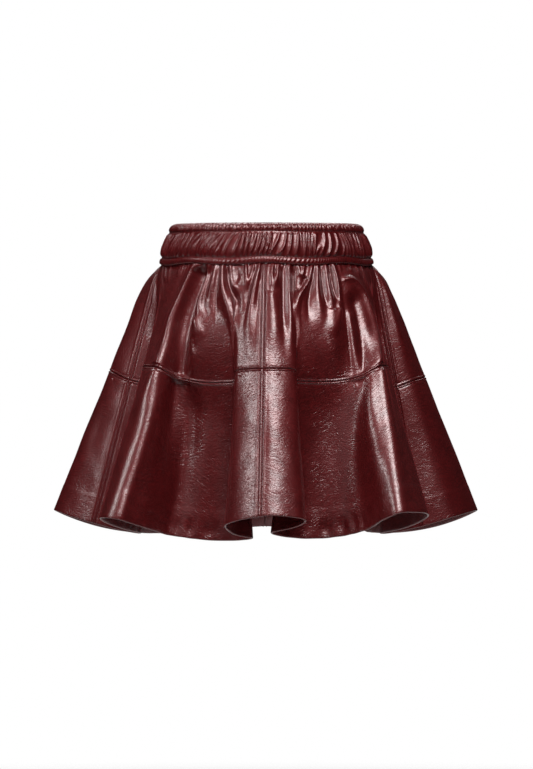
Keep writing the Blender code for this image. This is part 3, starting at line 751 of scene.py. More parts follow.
    def upright_line(self, seam, side, lift):
        """A line of points beside an upright seam, from the waistband to the hem."""
        widths = np.linalg.norm(np.diff(self.face, axis=1), axis=-1)
        points = []
        for passed, face, out in zip(passed_after(widths, axis=1), self.face, self.out):
            at = (passed[self.seam_columns[seam]] + side) % passed[-1]
            points.append(point_at(at, passed, face) + point_at(at, passed, out) * lift)
        return np.array(points)

    def level_line(self, side, lift):
        """A closed line of points beside the seam between the tiers."""
        at = TIER_SEAM + side
        points = []
        for k in range(len(self.along) - 1):
            face, out = self.face[:, k], self.out[:, k]
            points.append(point_at(at, self.down, face) + point_at(at, self.down, out) * lift)
        return np.array(points)

    # ---- the shells

    def panel_block(self, index, rows):
        """The points, outward directions and cloth coordinates of one panel."""
        columns = np.arange(self.seam_columns[index], self.seam_columns[index + 1] + 1)
        block = np.ix_(rows, columns)
        face, out = self.face[block].copy(), self.out[block].copy()
        along = unit(np.gradient(face, axis=1))
        face[:, 0] += along[:, 0] * SEAM_GAP / 2
        face[:, -1] -= along[:, -1] * SEAM_GAP / 2
        down = self.down[rows].copy()
        widths = np.linalg.norm(np.diff(self.plain[block], axis=1), axis=-1)
        across = passed_after(widths, axis=1)
        across -= across[:, -1:] / 2
        return face, out, across + PANEL_SPACING * index, down


_net = []


def skirt_net():
    """The skirt's net, worked out once."""
    if not _net:
        _net.append(SkirtNet(bpy.context.scene.skirt_sizes))
    return _net[0]


def new_object(name, data):
    """An object of this mesh, light or camera, in the scene."""
    obj = bpy.data.objects.new(name, data)
    bpy.context.scene.collection.objects.link(obj)
    return obj


def cloth_object(name, verts, faces, uv, materials, slots=None):
    """A smooth mesh object with the cloth's own coordinates, in metres, as its UV map."""
    mesh = bpy.data.meshes.new(name)
    mesh.from_pydata(verts.reshape(-1, 3).tolist(), [], faces)
    for material in materials:
        mesh.materials.append(material)
    if slots is not None:
        mesh.polygons.foreach_set("material_index", slots)
    corners = np.empty(len(mesh.loops), int)
    mesh.loops.foreach_get("vertex_index", corners)
    mesh.uv_layers.new(name="cloth").data.foreach_set("uv", uv.reshape(-1, 2)[corners].reshape(-1))
    mesh.shade_smooth()
    mesh.set_sharp_from_angle(angle=SHARP_ANGLE)
    mesh.update()
    return new_object(name, mesh)


def quads(a, b, c, d):
    """Faces from four grids that hold the numbers of their corners."""
    return np.stack([a, b, c, d], -1).reshape(-1, 4)


def closed_shell(name, outer, inner, uv_across, uv_down, materials, inner_slots):
    """A closed mesh between two nets of points."""
    rows, columns = outer.shape[:2]
    grid = np.arange(rows * columns).reshape(rows, columns)
    back = grid + rows * columns
    faces = [
        quads(grid[:-1, :-1], grid[1:, :-1], grid[1:, 1:], grid[:-1, 1:]),
        quads(back[:-1, :-1], back[:-1, 1:], back[1:, 1:], back[1:, :-1]),
        quads(grid[0, :-1], grid[0, 1:], back[0, 1:], back[0, :-1]),
        quads(grid[-1, 1:], grid[-1, :-1], back[-1, :-1], back[-1, 1:]),
        quads(grid[1:, 0], grid[:-1, 0], back[:-1, 0], back[1:, 0]),
        quads(grid[:-1, -1], grid[1:, -1], back[1:, -1], back[:-1, -1]),
    ]
    slots = np.zeros(sum(map(len, faces)), int)
    slots[len(faces[0]):len(faces[0]) + len(faces[1])] = inner_slots.reshape(-1)
    uv = np.stack([uv_across, np.broadcast_to(uv_down[:, None], uv_across.shape)], -1)
    return cloth_object(
        name, np.stack([outer, inner]), np.concatenate(faces).tolist(), np.stack([uv, uv]),
        materials, slots,
    )


def tier_rows(net, tier):
    """The first and last row of a tier's net."""
    return (0, net.tier_row) if tier == "upper" else (net.tier_row, len(net.down) - 1)


def build_panel(net, index, tier):
    """One sewn piece of the skirt as a closed shell of leather."""
    sizes = net.sizes
    first, last = tier_rows(net, tier)
    rows = np.arange(first, last + 1)
    face, out, across, down = net.panel_block(index, rows)
    seam_row = -1 if tier == "upper" else 0
    toward = unit(face[-1] - face[-2]) if tier == "upper" else unit(face[0] - face[1])
    face[seam_row] -= toward * SEAM_GAP / 2
    thickness = np.full(len(rows), sizes.leather)
    if tier == "lower":
        turned = smoothstep((down - (sizes.length - sizes.hem_turn)) / HEM_TURN_STEP)
        thickness = thickness + sizes.leather * turned
    inner = face - out * thickness[:, None, None]
    if tier == "lower":
        face, inner, across, down = round_hem(face, inner, out, across, down, sizes)
    is_backing = down[:-1] < sizes.length - sizes.hem_turn
    inner_slots = np.repeat(is_backing.astype(int), face.shape[1] - 1)
    materials = [leather_material(), backing_material()]
    name = f"{tier}_{PANELS[index]}_leather"
    return closed_shell(name, face, inner, across, down, materials, inner_slots)


def round_hem(face, inner, out, across, down, sizes):
    """Replaces the square hem by a rounded fold: both nets meet at its lowest line."""
    radius = sizes.leather
    below = unit(face[-1] - face[-2])
    middle = (face[-1] + inner[-1]) / 2 - below * radius
    outer_rows, inner_rows = [face[:-1]], [inner[:-1]]
    for k in range(HEM_ROUND_STEPS + 1):
        angle = HEM_ROUND * math.pi / 2 * k / HEM_ROUND_STEPS
        side, low = radius * math.cos(angle), radius * math.sin(angle)
        outer_rows.append((middle + out[-1] * side + below * low)[None])
        inner_rows.append((middle - out[-1] * side + below * low)[None])
    extra = np.repeat(across[-1:], HEM_ROUND_STEPS, axis=0)
    low_down = down[-1] + radius * np.linspace(0, 1, HEM_ROUND_STEPS + 1)[1:]
    return (
        np.concatenate(outer_rows), np.concatenate(inner_rows),
        np.concatenate([across, extra]), np.concatenate([down, low_down]),
    )


def cut_size(net, index, tier):
    """(width, height, area) of a panel's cut: the lower tier's hem turn is part of it."""
    columns = slice(net.seam_columns[index], net.seam_columns[index + 1] + 1)
    first, last = tier_rows(net, tier)
    widths = np.linalg.norm(np.diff(net.plain[first:last + 1, columns], axis=1), axis=-1).sum(1)
    heights = net.down[first:last + 1]
    area = float(np.sum((widths[1:] + widths[:-1]) / 2 * np.diff(heights)))
    turn = net.sizes.hem_turn if tier == "lower" else 0.0
    area += float(widths[-1]) * turn
    return round(float(widths.max()), 3), heights[-1] - heights[0] + turn, round(area, 4)


# --------------------------------------------------------------------------- materials

MIX_FIRST_COLOUR, MIX_SECOND_COLOUR, MIX_COLOUR = 6, 7, 2  # the mix node's colour sockets


class Shading:
    """A new material's node tree. Its methods take sockets or plain values."""

    def __init__(self, name):
        self.material = bpy.data.materials.new(name)
        self.material.use_nodes = True
        self.tree = self.material.node_tree

    def feed(self, node, values):
        """Links sockets to a node's inputs and sets the plain values."""
        for key, value in values.items():
            if isinstance(value, bpy.types.NodeSocket):
                self.tree.links.new(value, node.inputs[key])
            else:
                node.inputs[key].default_value = value

    def node(self, kind, *inputs, **named):
        """A node fed by order or by name. A name in lower case is one of its settings."""
        node = self.tree.nodes.new(kind)
        for key in filter(str.islower, named):
            setattr(node, key, named[key])
        self.feed(node, dict(enumerate(inputs)))
        self.feed(node, {key: value for key, value in named.items() if not key.islower()})
        return node

    def finish(self, **values):
        """Feeds the surface shader. Its input names are given with _ for each space."""
        shader = self.tree.nodes["Principled BSDF"]
        self.feed(shader, {key.replace("_", " "): value for key, value in values.items()})
        return self.material

    def math(self, operation, *values):
        return self.node("ShaderNodeMath", *values, operation=operation).outputs[0]

    def times(self, first, second):
        return self.math("MULTIPLY", first, second)

    def plus(self, first, second):
        return self.math("ADD", first, second)

    def ramp(self, value, low, high, to_low=0.0, to_high=1.0):
        """The value carried smoothly from low and high to other ends."""
        node = self.node(
            "ShaderNodeMapRange", value, low, high, to_low, to_high,
            interpolation_type="SMOOTHSTEP",
        )
        return node.outputs["Result"]

    def place(self):
        """The place in the skirt's own coordinates."""
        return self.node("ShaderNodeTexCoord").outputs["Object"]

    def noise(self, vector, scale, detail=3.0, distortion=0.0):
        return self.node(
            "ShaderNodeTexNoise", Vector=vector, Scale=scale, Detail=detail,
            Distortion=distortion,
        ).outputs["Fac"]

    def warped_cloth(self, amount, scale):
        """The cloth's own coordinates in metres, pushed about by noise."""
        cloth = self.node("ShaderNodeUVMap", uv_map="cloth").outputs["UV"]
        wobble = self.node("ShaderNodeTexNoise", Vector=cloth, Scale=scale, Detail=3.0)
        centred = self.node(
            "ShaderNodeVectorMath", wobble.outputs["Color"], (0.5, 0.5, 0.5),
            operation="SUBTRACT",
        )
        scaled = self.node(
            "ShaderNodeVectorMath", centred.outputs[0], operation="SCALE", Scale=amount
        )
        return self.node(
            "ShaderNodeVectorMath", cloth, scaled.outputs[0], operation="ADD"
        ).outputs[0]

    def turned(self, vector, angle, scale, shift):
        """The cloth's coordinates on axes turned by angle, in units of scale metres."""
        return self.node(
            "ShaderNodeMapping", vector, (shift, shift * 0.7, 0.0),
            (0.0, 0.0, math.radians(angle)), (*scale, 1.0), vector_type="TEXTURE",
        ).outputs["Vector"]

    def crease_lines(self, vector, angle, size, width, shift):
        """Thin winding creases that run one way: 1 on a crease, 0 beside it."""
        level = self.noise(self.turned(vector, angle, size, shift), 1.0, 2.0, 0.2)
        away = self.math("ABSOLUTE", self.math("SUBTRACT", level, 0.5))
        return self.ramp(away, 0.0, width, 1.0, 0.0)

    def blend(self, share, first, second):
        """A colour between two others, by share."""
        node = self.node("ShaderNodeMix", share, data_type="RGBA")
        self.feed(node, {MIX_FIRST_COLOUR: first, MIX_SECOND_COLOUR: second})
        return node.outputs[MIX_COLOUR]

    def bump(self, height, strength, distance):
        return self.node(
            "ShaderNodeBump", Height=height, Strength=strength, Distance=distance
        ).outputs["Normal"]


# Heights of the leather's surface in millimetres, down in a crease and up elsewhere.
CREASE_DEPTH = -0.085
SWELL_HEIGHT = 0.12
WRINKLE_HEIGHT = 0.20
PEBBLE_HEIGHT = 0.014
# How far a crease's colour goes towards the painted crease shade: painted shade in the creases.
CREASE_SHADE_PAINT = 0.45
SIDE_PANELS = (0.145, 0.172, 1.0, 0.68)  # share of the heights left beyond these places


def leather_material(name="glossy_leather", wrinkle=1.0, coat=1.0):
    """Coated leather: wax wrinkles, fine creases with painted shade, grain and a glossy finish."""
    if name in bpy.data.materials:
        return bpy.data.materials[name]
    s = Shading(name)
    colours = bpy.context.scene.skirt_colours
    loose = s.warped_cloth(0.012, 32.0)
    tight = s.warped_cloth(0.0030, 170.0)
    one_way = s.crease_lines(loose, 72.0, (0.0036, 0.0130), 0.110, 0.0)
    other_way = s.crease_lines(loose, 118.0, (0.0040, 0.0140), 0.100, 3.1)
    cells = s.node(
        "ShaderNodeTexVoronoi", feature="DISTANCE_TO_EDGE", Scale=1.0,
        Vector=s.turned(tight, 80.0, (0.0034, 0.0052), 0.4),
    )
    cracks = s.ramp(cells.outputs["Distance"], 0.0, 0.13, 1.0, 0.0)
    patch = s.ramp(s.noise(loose, 24.0, 2.0), 0.40, 0.60)
    other_patch = s.math("SUBTRACT", 1.0, patch)
    crack_patch = s.ramp(s.noise(tight, 31.0, 2.0), 0.40, 0.62, 0.2, 0.9)
    crease = s.times(one_way, s.plus(patch, 0.25))
    crease = s.math("MAXIMUM", crease, s.times(other_way, s.plus(other_patch, 0.15)))
    crease = s.math("MAXIMUM", crease, s.times(cracks, crack_patch))
    swell = s.noise(s.turned(loose, 62.0, (0.0062, 0.0100), 1.3), 1.0, 2.0, 0.3)
    fine = s.noise(s.turned(loose, 80.0, (0.0021, 0.0068), 2.2), 1.0, 2.0, 0.5)
    pebble = s.noise(tight, 620.0, 3.0, 0.3)
    height = s.times(crease, CREASE_DEPTH)
    for form, rise in ((swell, SWELL_HEIGHT), (fine, WRINKLE_HEIGHT), (pebble, PEBBLE_HEIGHT)):
        height = s.plus(height, s.times(form, rise))
    # The side panels are drawn smoother than the flutes.
    across = s.node("ShaderNodeSeparateXYZ", s.place()).outputs["X"]
    height = s.times(height, s.ramp(s.math("ABSOLUTE", across), *SIDE_PANELS))
    normal = s.bump(height, wrinkle, 0.001)
    mottled = s.ramp(s.noise(loose, 22.0, 4.0), 0.30, 0.72)
    body = s.blend(mottled, colours.leather, colours.worn)
    # The colour on the creases is darkened towards the crease colour: painted shade in the
    # creases.
    return s.finish(
        Base_Color=s.blend(s.times(crease, CREASE_SHADE_PAINT), body, colours.painted_crease_shade),
        Roughness=s.ramp(s.noise(loose, 60.0, 4.0), 0.3, 0.75, 0.46, 0.60),
        Normal=normal,
        Specular_IOR_Level=0.7,
        Specular_Tint=(1.0, 0.075, 0.085, 1.0),
        Coat_Weight=coat,
        Coat_Roughness=0.28,
        Coat_IOR=1.55,
        Coat_Normal=normal,
        Sheen_Weight=0.10,
        Sheen_Roughness=0.35,
        Sheen_Tint=(1.0, 0.06, 0.08, 1.0),
    )


def lighter(tint, times):
    """The colour with each part multiplied, up to 1."""
    return [min(1.0, times * c) for c in tint[:3]] + [1.0]


def backing_material():
    """The flesh side: matt, napped and darker."""
    if "leather_backing" in bpy.data.materials:
        return bpy.data.materials["leather_backing"]
    s = Shading("leather_backing")
    tint = bpy.context.scene.skirt_colours.backing
    nap = s.noise(s.warped_cloth(0.002, 90.0), 1400.0, 5.0)
    return s.finish(
        Base_Color=s.blend(nap, tint, lighter(tint, 1.9)),
        Roughness=0.88,
        Specular_IOR_Level=0.2,
        Normal=s.bump(nap, 0.4, 0.0004),
    )


def thread_material():
    """Twisted polyester thread."""
    if "topstitch_thread" in bpy.data.materials:
        return bpy.data.materials["topstitch_thread"]
    s = Shading("topstitch_thread")
    tint = bpy.context.scene.skirt_colours.thread
    ply = s.noise(s.place(), 2600.0, 1.0)
    return s.finish(Base_Color=s.blend(ply, tint, lighter(tint, 1.8)), Roughness=0.45)


# --------------------------------------------------------------------------- waistband

# The section's outer face and inner face, as (height, half width).
BAND_OUTSIDE = (
    (0.0000, 0.1332), (0.0006, 0.1343), (0.0022, 0.1349), (0.0045, 0.1347), (0.0070, 0.1336),
    (0.0088, 0.1317), (0.0108, 0.1325), (0.0150, 0.1328), (0.0205, 0.1319), (0.0260, 0.1298),
    (0.0315, 0.1274), (0.0365, 0.1247), (0.0392, 0.1233), (0.0408, 0.1222), (0.0426, 0.1226),
    (0.0460, 0.1218), (0.0490, 0.1195), (0.0509, 0.1163), (0.0518, 0.1128), (0.0512, 0.1108),
)
BAND_INSIDE = (
    (0.0498, 0.1106), (0.0470, 0.1130), (0.0420, 0.1174), (0.0340, 0.1226), (0.0260, 0.1258),
    (0.0130, 0.1288), (0.0030, 0.1301), (0.0000, 0.1306),
)
LOWER_STITCH = 0.0088  # height of the stitching under the elastic
UPPER_STITCH = 0.0408  # and over it
BAND_POINTS_OUTSIDE, BAND_POINTS_INSIDE = 3, 2  # steps from one level to the next
BAND_COLUMNS_PER_GATHER = 13
GATHER_HEIGHT = 0.0027
HEADER_HEIGHT = 0.0012
BEAD_HEIGHT = 0.00075
INSIDE_HEIGHT = 0.0007
INSIDE_UNTIL = 0.0480
BAND_UV_START = 20.0  # clear of the panels in the cloth's coordinates
BAND_UV_RING = 10  # the ring of points along which the cloth's coordinate is measured


def gather_wave(phase):
    """Rounded ridges with narrow valleys between them, 0 to 1."""
    return np.abs(np.sin(math.pi * phase)) ** 0.8


def gather_ridge(phase, width):
    """Sharp ridges with wide hollows between them, 0 to 1. width is in turns of phase."""
    away = np.abs((phase + 0.5) % 1.0 - 0.5)
    return np.exp(-((away / width) ** 1.7))


def band_relief(waist, height, outside, gathers):
    """How far the gathered leather stands out, round the band and up its section."""
    turn = 2 * math.pi * waist[None, :]

    def sway(times, shift=0.0):
        return np.sin(times * turn + shift)

    up = height[:, None]
    rise = (up - (LOWER_STITCH + UPPER_STITCH) / 2) / (UPPER_STITCH - LOWER_STITCH)
    even = gathers * waist[None, :]
    # The gathers wander, lean and bow, and some are weaker or have another between them.
    wander = 0.50 * sway(5, 0.4) + 0.25 * sway(13, 1) + 0.15 * sway(29)
    slant = 0.95 + 0.45 * sway(2, 2.4) + 0.40 * sway(11, 0.9)
    bow = 0.8 * sway(3, 0.5) + 0.9 * sway(7, 2.0)
    phase = even + wander - slant * rise + bow * rise ** 2
    strength = 0.76 + 0.24 * sway(17, 1.3 + 2.0 * rise) * sway(7, 0.6)
    between = gather_ridge(phase + 0.43 + 0.22 * sway(19, 2.5 * rise), 0.13)
    patch = np.clip(sway(12, 2.2 + 1.5 * rise) + 0.2, 0, 1)
    broad = gather_wave(0.37 * phase + 0.6 * sway(6))
    channel = smoothstep((up - LOWER_STITCH) / 0.0040) * smoothstep((UPPER_STITCH - up) / 0.0042)
    gathered = gather_ridge(phase, 0.17) * strength + 0.60 * patch * between + 0.10 * broad - 0.30
    crimp = gather_wave(2.1 * even + 1.2 * sway(7) + 0.5 * rise)
    finer = gather_wave(1.2 * even + 1.0 * sway(11, 1) - 2.0 * rise)
    header = smoothstep((up - UPPER_STITCH) / 0.003)
    beads = gather_wave(1.9 * even + 0.9 * sway(10) - 4.0 * rise)
    bead_patch = 0.80 + 0.20 * sway(3, 1.0) * sway(8)
    ridge = smoothstep((LOWER_STITCH - up) / 0.002) * smoothstep((up + 0.0002) / 0.0015)
    relief = GATHER_HEIGHT * channel * gathered
    relief = relief + HEADER_HEIGHT * header * (0.60 * crimp + 0.60 * finer - 0.6)
    relief = relief + BEAD_HEIGHT * ridge * bead_patch * (beads - 0.6)
    inside = INSIDE_HEIGHT * (gather_wave(0.62 * phase) - 0.5) * smoothstep(up / 0.006)
    inside = inside * smoothstep((INSIDE_UNTIL - up) / 0.004)
    return np.where(outside[:, None], relief, -inside)


def build_waistband(sizes):
    """(points, heights) of the casing: outer face, rolled top and inner face in one band."""
    outer = catmull_rom(BAND_OUTSIDE, BAND_POINTS_OUTSIDE)
    inner = catmull_rom(BAND_INSIDE, BAND_POINTS_INSIDE)
    height, half_width = np.vstack([outer, inner]).T
    outside = np.arange(len(height)) < len(outer)
    columns = sizes.band_gathers * BAND_COLUMNS_PER_GATHER
    waist = np.linspace(-0.5, 0.5, columns + 1)
    relief = band_relief(waist, height, outside, sizes.band_gathers)
    band = sizes.band_height
    rows = []
    for up, half, stand in zip(height, half_width, relief):
        point, out = ellipse(waist, half)
        lift = up - band / 2 + band_wave(waist) * (1 - up / band)
        if up > UPPER_STITCH:
            lift = lift + stand * 0.5
        rows.append(np.column_stack([point + out * stand[:, None], lift]))
    loops = np.array(rows)
    loops[:, 0, 0] -= SEAM_GAP / 2
    loops[:, -1, 0] += SEAM_GAP / 2
    return loops, height


def band_object(loops):
    """A closed mesh from the band's rings of points, cut at the centre back."""
    rings, columns = loops.shape[:2]
    grid = np.arange(rings * columns).reshape(rings, columns)
    wrapped = np.vstack([grid, grid[:1]])
    sides = quads(wrapped[1:, :-1], wrapped[:-1, :-1], wrapped[:-1, 1:], wrapped[1:, 1:])
    faces = sides.tolist() + [grid[:, 0].tolist(), grid[::-1, -1].tolist()]
    up = passed_after(np.linalg.norm(np.diff(loops[:, columns // 2], axis=0), axis=1))
    steps = np.linalg.norm(np.diff(loops[BAND_UV_RING], axis=0), axis=1)
    across = passed_after(steps) + BAND_UV_START
    uv = np.stack(np.broadcast_arrays(across[None, :], up[:, None]), -1)
    leather = leather_material("gathered_leather", 0.5, 0.85)
    return cloth_object("waistband_leather", loops, faces, uv, [leather])


# ------------------------------------------------------------------------ topstitching

STITCH_SEGMENTS, STITCH_RINGS = 6, 4
STITCH_SINK = 0.45  # how far out of the leather a stitch's middle lies, in thread radii


def topstitch_tree():
    """Geometry nodes: a stitch at every pitch along each edge path of the input mesh."""
    tree = bpy.data.node_groups.get("Topstitch")
    if tree:
        return tree
    tree = bpy.data.node_groups.new("Topstitch", "GeometryNodeTree")
    for name, way, kind in (
        ("Geometry", "INPUT", "Geometry"), ("Pitch", "INPUT", "Float"),
        ("Length", "INPUT", "Float"), ("Thread Radius", "INPUT", "Float"),
        ("Material", "INPUT", "Material"), ("Geometry", "OUTPUT", "Geometry"),
    ):
        tree.interface.new_socket(name=name, in_out=way, socket_type=f"NodeSocket{kind}")
    start, path, places, turned, stitch, half, size, laid, real, smooth, dressed, end = (
        tree.nodes.new(kind) for kind in (
            "NodeGroupInput", "GeometryNodeMeshToCurve", "GeometryNodeCurveToPoints",
            "FunctionNodeAlignRotationToVector", "GeometryNodeMeshUVSphere", "ShaderNodeMath",
            "ShaderNodeCombineXYZ", "GeometryNodeInstanceOnPoints",
            "GeometryNodeRealizeInstances", "GeometryNodeSetShadeSmooth",
            "GeometryNodeSetMaterial", "NodeGroupOutput",
        )
    )
    places.mode = "LENGTH"
    turned.axis = "X"
    stitch.inputs["Segments"].default_value = STITCH_SEGMENTS
    stitch.inputs["Rings"].default_value = STITCH_RINGS
    stitch.inputs["Radius"].default_value = 1.0
    half.operation = "MULTIPLY"
    half.inputs[1].default_value = 0.5
    for source, output, target, socket in (
        (start, "Geometry", path, "Mesh"),
        (path, "Curve", places, "Curve"),
        (start, "Pitch", places, "Length"),
        (places, "Tangent", turned, "Vector"),
        (start, "Length", half, 0),
        (half, 0, size, "X"),
        (start, "Thread Radius", size, "Y"),
        (start, "Thread Radius", size, "Z"),
        (places, "Points", laid, "Points"),
        (stitch, "Mesh", laid, "Instance"),
        (turned, "Rotation", laid, "Rotation"),
        (size, "Vector", laid, "Scale"),
        (laid, "Instances", real, "Geometry"),
        (real, "Geometry", smooth, "Geometry"),
        (smooth, "Geometry", dressed, "Geometry"),
        (start, "Material", dressed, "Material"),
        (dressed, "Geometry", end, "Geometry"),
    ):
        tree.links.new(source.outputs[output], target.inputs[socket])
    return tree


def stitched(name, lines, closed, sizes):
    """A mesh of stitches laid along lines of points."""
    guide = bpy.data.meshes.new(f"{name}_guide")
    verts, edges = [], []
    for line in lines:
        first = len(verts)
        verts += [tuple(p) for p in line]
        edges += [(first + k, first + k + 1) for k in range(len(line) - 1)]
        if closed:
            edges.append((first + len(line) - 1, first))
    guide.from_pydata(verts, edges, [])
    carrier = new_object(f"{name}_carrier", guide)
    modifier = carrier.modifiers.new("Topstitch", "NODES")
    modifier.node_group = topstitch_tree()
    values = {
        "Pitch": sizes.stitch_pitch, "Length": sizes.stitch_length,
        "Thread Radius": sizes.thread, "Material": thread_material(),
    }
    for socket in modifier.node_group.interface.items_tree:
        if socket.in_out == "INPUT" and socket.name in values:
            modifier[socket.identifier] = values[socket.name]
    depsgraph = bpy.context.evaluated_depsgraph_get()
    mesh = bpy.data.meshes.new_from_object(carrier.evaluated_get(depsgraph))
    bpy.data.objects.remove(carrier, do_unlink=True)
    mesh.name = name
    return new_object(name, mesh)


# --------------------------------------------------------------------------- operators


class SKIRT_OT_panels(bpy.types.Operator):
    """Build the eight sewn panels of the two tiers"""

    bl_idname = "skirt.panels"
    bl_label = "Panels"

    def execute(self, context):
        net = skirt_net()
        for tier, held in (("upper", "gathered"), ("lower", "hung")):
            for index, panel in enumerate(PANELS):
                obj = build_panel(net, index, tier)
                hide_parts(f"{tier}_{panel}")
                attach(obj, "root")
                width, height, area = cut_size(net, index, tier)
        return {"FINISHED"}


class SKIRT_OT_waistband(bpy.types.Operator):
    """Build the gathered elastic waistband"""

    bl_idname = "skirt.waistband"
    bl_label = "Waistband"

    def execute(self, context):
        sizes = context.scene.skirt_sizes
        obj = band_object(build_waistband(sizes)[0])
        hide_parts("waistband")
        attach(obj, "root")
        return {"FINISHED"}


class SKIRT_OT_topstitching(bpy.types.Operator):
    """Sew the double topstitching beside every seam and the waistband's two rows"""

    bl_idname = "skirt.topstitching"
    bl_label = "Topstitching"

    def execute(self, context):
        sizes = context.scene.skirt_sizes
        net = skirt_net()
        lift = sizes.thread * STITCH_SINK
        upright = [
            net.upright_line(seam, side, lift)
            for seam in range(len(PANELS)) for side in (-UPRIGHT_STITCH_OFF, UPRIGHT_STITCH_OFF)
        ]
        level = [net.level_line(side, lift) for side in (-sizes.stitch_off, sizes.stitch_off)]
        loops, height = build_waistband(sizes)
        outer = (len(BAND_OUTSIDE) - 1) * BAND_POINTS_OUTSIDE
        band = []
        for up in (LOWER_STITCH, UPPER_STITCH):
            ring = loops[np.argmin(np.abs(height[:outer] - up))]
            out = unit(ring * np.array([1.0, 1.0 / WAIST_DEPTH_RATIO ** 2, 0.0]))
            band.append(ring + out * lift)
        for name, lines, closed, slot in (
            ("upright_topstitching", upright, False, "upper_leather"),
            ("tier_topstitching", level, True, "upper_leather"),
            ("waistband_topstitching", band, False, "band_leather"),
        ):
            piece = stitched(name, lines, closed, sizes)
            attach(piece, "root")
        return {"FINISHED"}


CAMERA_DISTANCE = 7.0
CAMERA_ELEVATION = math.radians(0.2)
CAMERA_AIM = -0.176
CAMERA_LENS = 260.0
FLOOR = -0.78
FLOOR_RADIUS = 1.9
FLOOR_CLEAR, FLOOR_SOLID = 1.85, 0.9  # distances out where the floor is clear and solid
BACKDROP_RADIUS = 14.0
WORLD_STRENGTH = 0.012

Lamp = namedtuple("Lamp", "name azimuth elevation distance size power")
# Soft boxes aimed at the skirt, in degrees, metres and watts. Azimuth 0 is in front, 90 at
# the right.
LAMPS = (
    Lamp("overhead_softbox", 9, 54, 2.1, (0.80, 0.78), 41),
    Lamp("left_strip", -57, 38, 2.4, (0.30, 0.66), 16),
    Lamp("front_fill", -28, 23, 2.6, (1.00, 0.80), 1.4),
    Lamp("back_softbox", 184, 60, 2.3, (0.95, 0.65), 18),
    Lamp("right_rear_strip", 140, 50, 2.4, (0.30, 0.60), 5),
    Lamp("left_rear_strip", -140, 50, 2.4, (0.30, 0.60), 5),
)


def add_lamp(lamp):
    light = bpy.data.lights.new(lamp.name, "AREA")
    light.shape = "RECTANGLE"
    light.size, light.size_y = lamp.size
    light.energy = lamp.power
    obj = new_object(lamp.name, light)
    a, e = math.radians(lamp.azimuth), math.radians(lamp.elevation)
    offset = Vector((math.sin(a) * math.cos(e), -math.cos(a) * math.cos(e), math.sin(e)))
    obj.location = Vector((0.0, 0.0, CAMERA_AIM)) + offset * lamp.distance
    obj.rotation_euler = offset.to_track_quat("Z", "Y").to_euler()


def stage_object(name, bm, material):
    """An object of the set from a bmesh, which it frees."""
    mesh = bpy.data.meshes.new(name)
    bm.to_mesh(mesh)
    bm.free()
    mesh.materials.append(material)
    return new_object(name, mesh)


def stage_floor():
    """A pale round floor under the skirt, clear towards its edge."""
    bm = bmesh.new()
    bmesh.ops.create_circle(bm, cap_ends=True, segments=96, radius=FLOOR_RADIUS)
    bmesh.ops.translate(bm, verts=bm.verts, vec=(0.0, 0.0, FLOOR))
    s = Shading("pale_floor")
    level = s.node("ShaderNodeVectorMath", s.place(), (1.0, 1.0, 0.0), operation="MULTIPLY")
    away = s.node("ShaderNodeVectorMath", level.outputs[0], operation="LENGTH")
    material = s.finish(
        Base_Color=(0.80, 0.80, 0.80, 1.0),
        Roughness=0.9,
        Alpha=s.ramp(away.outputs["Value"], FLOOR_CLEAR, FLOOR_SOLID),
    )
    return stage_object("floor", bm, material)


def white_backdrop():
    """A white dome round the set. It only fills the picture behind the skirt."""
    bm = bmesh.new()
    bmesh.ops.create_uvsphere(bm, u_segments=48, v_segments=24, radius=BACKDROP_RADIUS)
    bmesh.ops.reverse_faces(bm, faces=bm.faces)
    material = Shading("white_backdrop").finish(
        Base_Color=(0.0, 0.0, 0.0, 1.0),
        Specular_IOR_Level=0.0,
        Emission_Color=(1.0, 1.0, 1.0, 1.0),
        Emission_Strength=1.0,
    )
    obj = stage_object("backdrop", bm, material)
    obj.visible_diffuse = obj.visible_glossy = obj.visible_shadow = False
    return obj


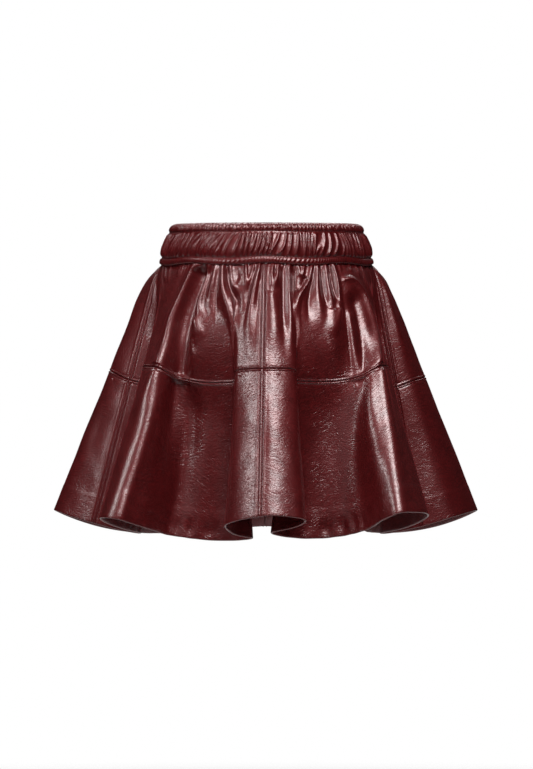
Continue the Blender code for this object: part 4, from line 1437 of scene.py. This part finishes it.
class SKIRT_OT_stage(bpy.types.Operator):
    """Set up the backdrop, soft lights and camera"""

    bl_idname = "skirt.stage"
    bl_label = "Stage"

    def execute(self, context):
        scene = context.scene
        stage_floor()
        white_backdrop()
        for lamp in LAMPS:
            add_lamp(lamp)
        world = bpy.data.worlds.new("studio")
        world.use_nodes = True
        background = world.node_tree.nodes["Background"]
        background.inputs["Color"].default_value = (1.0, 1.0, 1.0, 1.0)
        background.inputs["Strength"].default_value = WORLD_STRENGTH
        scene.world = world
        scene.view_settings.view_transform = "Standard"
        camera = bpy.data.cameras.new("camera")
        camera.lens = CAMERA_LENS
        camera.sensor_width = 36.0
        camera.clip_end = 60.0
        eye = new_object("camera", camera)
        eye.location = (
            0.0, -CAMERA_DISTANCE * math.cos(CAMERA_ELEVATION),
            CAMERA_AIM + CAMERA_DISTANCE * math.sin(CAMERA_ELEVATION),
        )
        eye.rotation_euler = (math.pi / 2 - CAMERA_ELEVATION, 0.0, 0.0)
        scene.camera = eye
        return {"FINISHED"}


class SKIRT_PT_panel(bpy.types.Panel):
    """The skirt's sizes, colours and pieces"""

    bl_label = "Leather skirt"
    bl_idname = "SKIRT_PT_panel"
    bl_space_type = "VIEW_3D"
    bl_region_type = "UI"
    bl_category = "Skirt"

    def draw(self, context):
        layout = self.layout
        for group in (context.scene.skirt_sizes, context.scene.skirt_colours):
            box = layout.box()
            for name in group.__annotations__:
                box.prop(group, name)
        for operator in OPERATORS:
            layout.operator(operator.bl_idname)


OPERATORS = (SKIRT_OT_stage, SKIRT_OT_panels, SKIRT_OT_waistband, SKIRT_OT_topstitching)
CLASSES = (SkirtSizes, SkirtColours) + OPERATORS + (SKIRT_PT_panel,)


def register():
    for cls in CLASSES:
        bpy.utils.register_class(cls)
    bpy.types.Scene.skirt_sizes = bpy.props.PointerProperty(type=SkirtSizes)
    bpy.types.Scene.skirt_colours = bpy.props.PointerProperty(type=SkirtColours)


def unregister():
    del bpy.types.Scene.skirt_colours
    del bpy.types.Scene.skirt_sizes
    for cls in reversed(CLASSES):
        bpy.utils.unregister_class(cls)


def main():
    register()
    bpy.ops.skirt.stage()
    bpy.ops.skirt.panels()
    bpy.ops.skirt.waistband()
    bpy.ops.skirt.topstitching()


if __name__ == "__main__":
    main()
